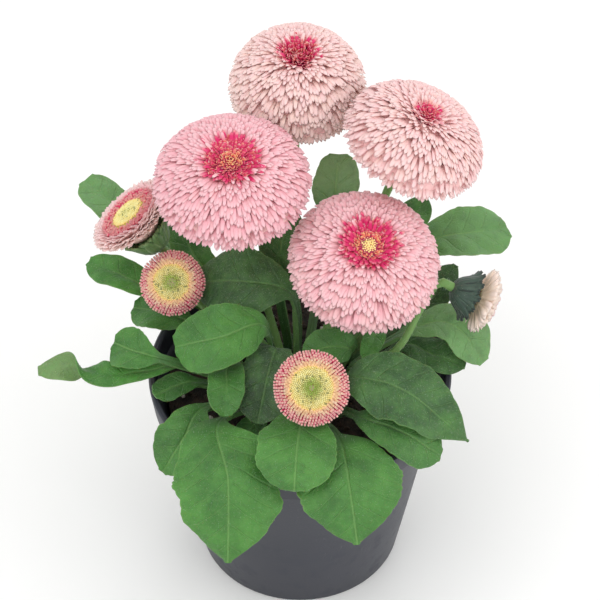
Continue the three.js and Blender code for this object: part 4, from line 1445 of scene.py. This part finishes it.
def disc_heart(head, i):
    name, wide = head["name"], head["radius"]
    tall = head["dome"] * wide
    seat = seat_of(head) + GAP
    green = 1 if head["form"] == "button" else OLD_GREEN
    heart = painted(disc_buds(head, DISC_SEED + i, green), name + "_disc", head, disc_paint)
    high = max(tall - seat - 2.1, 0.2)
    seat_height = seat + GAP - head.get("sunk", SUNK_DISC)
    return with_core(heart, head, seat_paint, head["eye"] * wide - 0.8, high, 0.2, seat_height)


def button_petals(head, i):
    wide, tall = head["radius"], head["dome"] * head["radius"]
    petals = painted(button_quills(head, PETAL_SEED + i), head["name"] + "_quills", head, petal_paint)
    return with_core(petals, head, core_paint, 0.72 * wide, 0.6 * tall, 0.34 * wide, 0)


def half_open_petals(head, i):
    name, wide = head["name"], head["radius"]
    rays = open_rays(head, PETAL_SEED + i, HALF_RINGS, HALF_PITCH, HALF_DYES)
    quills = ring_quills(head, QUILL_SEED + i, HALF_QUILLS)
    petals = painted(rays, name + "_rays", head, petal_paint)
    petals = join(petals, painted(quills, name + "_quills", head, petal_paint))
    return with_core(petals, head, core_paint, 0.4 * wide, 0.14 * wide, 0.3 * wide, 0)


def side_petals(head, i):
    wide = head["radius"]
    rays = open_rays(head, PETAL_SEED + i, BUD_RINGS, BUD_RING_PITCH, BUD_DYES)
    petals = painted(rays, head["name"] + "_rays", head, petal_paint)
    return with_core(petals, head, core_paint, 0.45 * wide, 0.15 * wide, 0.3 * wide, 0)


PETALS_OF = {
    "button": (button_petals, "petal_crimson"),
    "half": (half_open_petals, "petal_pink"),
    "bud": (side_petals, "petal_cream"),
}

for i, head in enumerate(HEADS):
    if head["form"] == "full":
        full_head(head, i)
        continue
    heart = disc_heart(head, i)
    make_petals, slot = PETALS_OF[head["form"]]
    hand_over(make_petals(head, i), slot, head["name"] + "_petals")
    hand_over(heart, "disc_yellow", head["name"] + "_heart")

# %% [markdown]
# Under each head the stem widens into a cup of green bracts, two rows of blunt scales that overlap
# like tiles. One bract is modelled and laid round the cup in the same way as the florets.

# %% The bract
BRACT_ROWS = 5
BRACT_WIDTHS = [0.6, 0.86, 1.0, 0.95, 0.72, 0.3]
BRACT_CHANNEL, BRACT_KEEL = 0.06, 0.08
BRACT_THICK = 0.12

bract = start("bract", bpy.ops.mesh.primitive_grid_add, x_subdivisions=4, y_subdivisions=BRACT_ROWS,
              size=1, location=(0, 0.5, 0))
bpy.ops.object.transform_apply()
bpy.ops.object.mode_set(mode="EDIT")
for i, share in enumerate(BRACT_WIDTHS):
    select_where(bract, lambda spot: abs(spot.y - i / BRACT_ROWS) < 0.01)
    bpy.ops.transform.resize(value=(share, 1, 1), center_override=(0, i / BRACT_ROWS, 0))
select_where(bract, lambda spot: abs(spot.x) < 0.3)
bpy.ops.transform.translate(value=(0, 0, -BRACT_CHANNEL))
select_where(bract, lambda spot: abs(spot.x) < 0.01)
bpy.ops.transform.translate(value=(0, 0, -BRACT_KEEL))
bpy.ops.object.mode_set(mode="OBJECT")
finish_with(bract, "SOLIDIFY", thickness=BRACT_THICK, offset=0)
bract_shape = shape_of(bract)
print("bract faces:", len(bract_shape[1]))

# %% [markdown]
# Stems are a clear green with fine upright fibres. The bracts are darker, with a midrib and a line
# along the edge, and those of the small head at the side are a cold dark green.

# %% Green of the stems and bracts
green = Finish("stem_green")
fibre = green.upright_streaks(900, 90)
patch = green.noise(60, 2)
stem_colour = green.mix(patch, colour(92, 140, 66), colour(126, 166, 92))
stem_colour = green.mix(fibre.rise(0.5, 0.8) * 0.35, stem_colour, colour(150, 184, 118))
stem_paint = green.paint(stem_colour, 0.5 + fibre * 0.15, fibre, 0.0002, subsurface_weight=0.1,
                         subsurface_scale=0.001, sheen_weight=0.1)
scale_green = Finish("bract_green")
along, across, _ = scale_green.parts(scale_green.attribute("floret"))
dark = scale_green.parts(scale_green.attribute("dye"))[0]
bract_noise = scale_green.noise(500, 3)
leafy = scale_green.mix(bract_noise, colour(74, 112, 56), colour(98, 138, 72))
bluish = scale_green.mix(bract_noise, colour(38, 60, 54), colour(72, 98, 80))
leafy = scale_green.mix(dark, leafy, bluish)
edge_line = across.size().rise(0.3, 0.46).at_least(along.rise(0.85, 1.0))
edge_colour = scale_green.mix(dark, colour(140, 170, 110), colour(14, 24, 26))
leafy = scale_green.mix(edge_line * 0.7, leafy, edge_colour)
midrib = 1 - across.size().rise(0.0, 0.1)
bract_paint = scale_green.paint(leafy, 0.55, bract_noise - midrib * 0.6, 0.0003, sheen_weight=0.12)
print("stem greens mixed")

# %% [markdown]
# A stem is drawn as a curve with a round bevel, then made a mesh. It is a little thinner in the
# middle, and its hairs are longer than a leaf's. The bracts of the cup have hairs too.

# %% Stems with their cups
STEM_RADIUS = 1.6
STRAIGHT_NECK = 6
SUNK = 1.5
STEM_POINTS = 26
BRACT_COUNT = 13
DEEP_CUP = 7
STEM_HAIRS_PER_MM2 = 1.0
STEM_HAIR = 0.9
BRACT_HAIRS = 260
BRACT_HAIR = 0.7
STEM_HAIR_SEED, BRACT_SEED, BRACT_HAIR_SEED = 500, 600, 700


def stem_curve(name, line):
    bpy.ops.object.select_all(action="DESELECT")
    bpy.ops.curve.primitive_nurbs_path_add()
    stem = bpy.context.object
    stem.name = name
    stem.data.splines.clear()
    spline = stem.data.splines.new("POLY")
    spline.points.add(STEM_POINTS - 1)
    for n, point in enumerate(spline.points):
        share = n / (STEM_POINTS - 1)
        point.co = (*(line.at(share) * MM), 1)
        point.radius = 1.0 - 0.16 * math.sin(math.pi * share) + 0.12 * share**6
    stem.data.dimensions = "3D"
    stem.data.bevel_depth = STEM_RADIUS * MM
    stem.data.bevel_resolution = 3
    stem.data.use_fill_caps = True
    stem.location = (0, 0, 0)
    bpy.ops.object.convert(target="MESH")
    stem = bpy.context.object
    bpy.ops.object.mode_set(mode="EDIT")
    bpy.ops.mesh.select_all(action="SELECT")
    bpy.ops.mesh.remove_doubles(threshold=0.00001)
    bpy.ops.mesh.normals_make_consistent(inside=False)
    bpy.ops.object.mode_set(mode="OBJECT")
    stem.data.shade_smooth()
    stem.data.materials.append(stem_paint)
    return stem


def cup_bracts(head, seed):
    rng = random.Random(seed)
    bracts = Florets(bract_shape)
    depth, flare = FORMS[head["form"]]["cup"]
    reach = flare * head["radius"]
    top = -FORMS[head["form"]]["foot"] * head["radius"] - GAP
    dark = 1.0 if head["form"] == "bud" else 0.15
    lift, slope = FORMS[head["form"]].get("hug", (0, 18))
    for row in range(2):
        for j in range(BRACT_COUNT):
            turn = FULL_TURN * (j + 0.5 * row + rng.uniform(-0.1, 0.1)) / BRACT_COUNT
            out = reach * (0.98 - 0.1 * row) * rng.uniform(0.95, 1.02)
            tip = (out, top + lift - 0.4 - 0.5 * row + rng.uniform(-0.4, 0.2))
            foot = (1.4, top - depth + 0.5 * row)
            steer = ray_at(*tip, math.radians(slope), foot, math.radians(8 if depth > DEEP_CUP else 2))
            width = FULL_TURN * reach / BRACT_COUNT * 0.95
            bracts.add(turn, *steer, width, width, math.radians(rng.uniform(-8, 8)), (dark, rng.random(), 0))
    return bracts


for i, head in enumerate(HEADS):
    rotation, centre = head_frame(head)
    depth, flare = FORMS[head["form"]]["cup"]
    top = -FORMS[head["form"]]["foot"] * head["radius"] - GAP
    below = centre + rotation @ ((top - depth - STRAIGHT_NECK) * UP)
    end = centre + rotation @ ((top - depth + SUNK) * UP)
    line = GrowthLine(head["root"], [*(place(*p) for p in head["via"]), below, end])
    stem = stem_curve(head["name"] + "_stalk", line)
    above_soil = (SOIL_TOP + 1) * MM
    area = sum(face.area for face in stem.data.polygons) / MM**2
    hairs = hairs_on(stem, int(area * STEM_HAIRS_PER_MM2), STEM_HAIR, STEM_HAIR_SEED + i,
                     lambda face: face.center.z > above_soil)
    cup = middle_of(head, head["name"] + "_cup", 0.5 * flare * head["radius"], 0.1, depth * 0.8, top - 0.3)
    cup.data.materials.append(stem_paint)
    bracts = painted(cup_bracts(head, BRACT_SEED + i), head["name"] + "_bracts", head, bract_paint)
    bract_hairs = hairs_on(bracts, BRACT_HAIRS, BRACT_HAIR, BRACT_HAIR_SEED + i)
    hand_over(join(stem, cup, bracts, hairs, bract_hairs), "stem", head["name"] + "_stem")

# %% [markdown]
# Last, the visual model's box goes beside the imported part's, to see that the looks haven't grown
# past the solids.

# %% Sizes and finish
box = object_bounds()
for label, (low, high) in (("solids", cad_box), ("visual", box)):
    print(label, [round(v / MM, 1) for v in low], [round(v / MM, 1) for v in high])
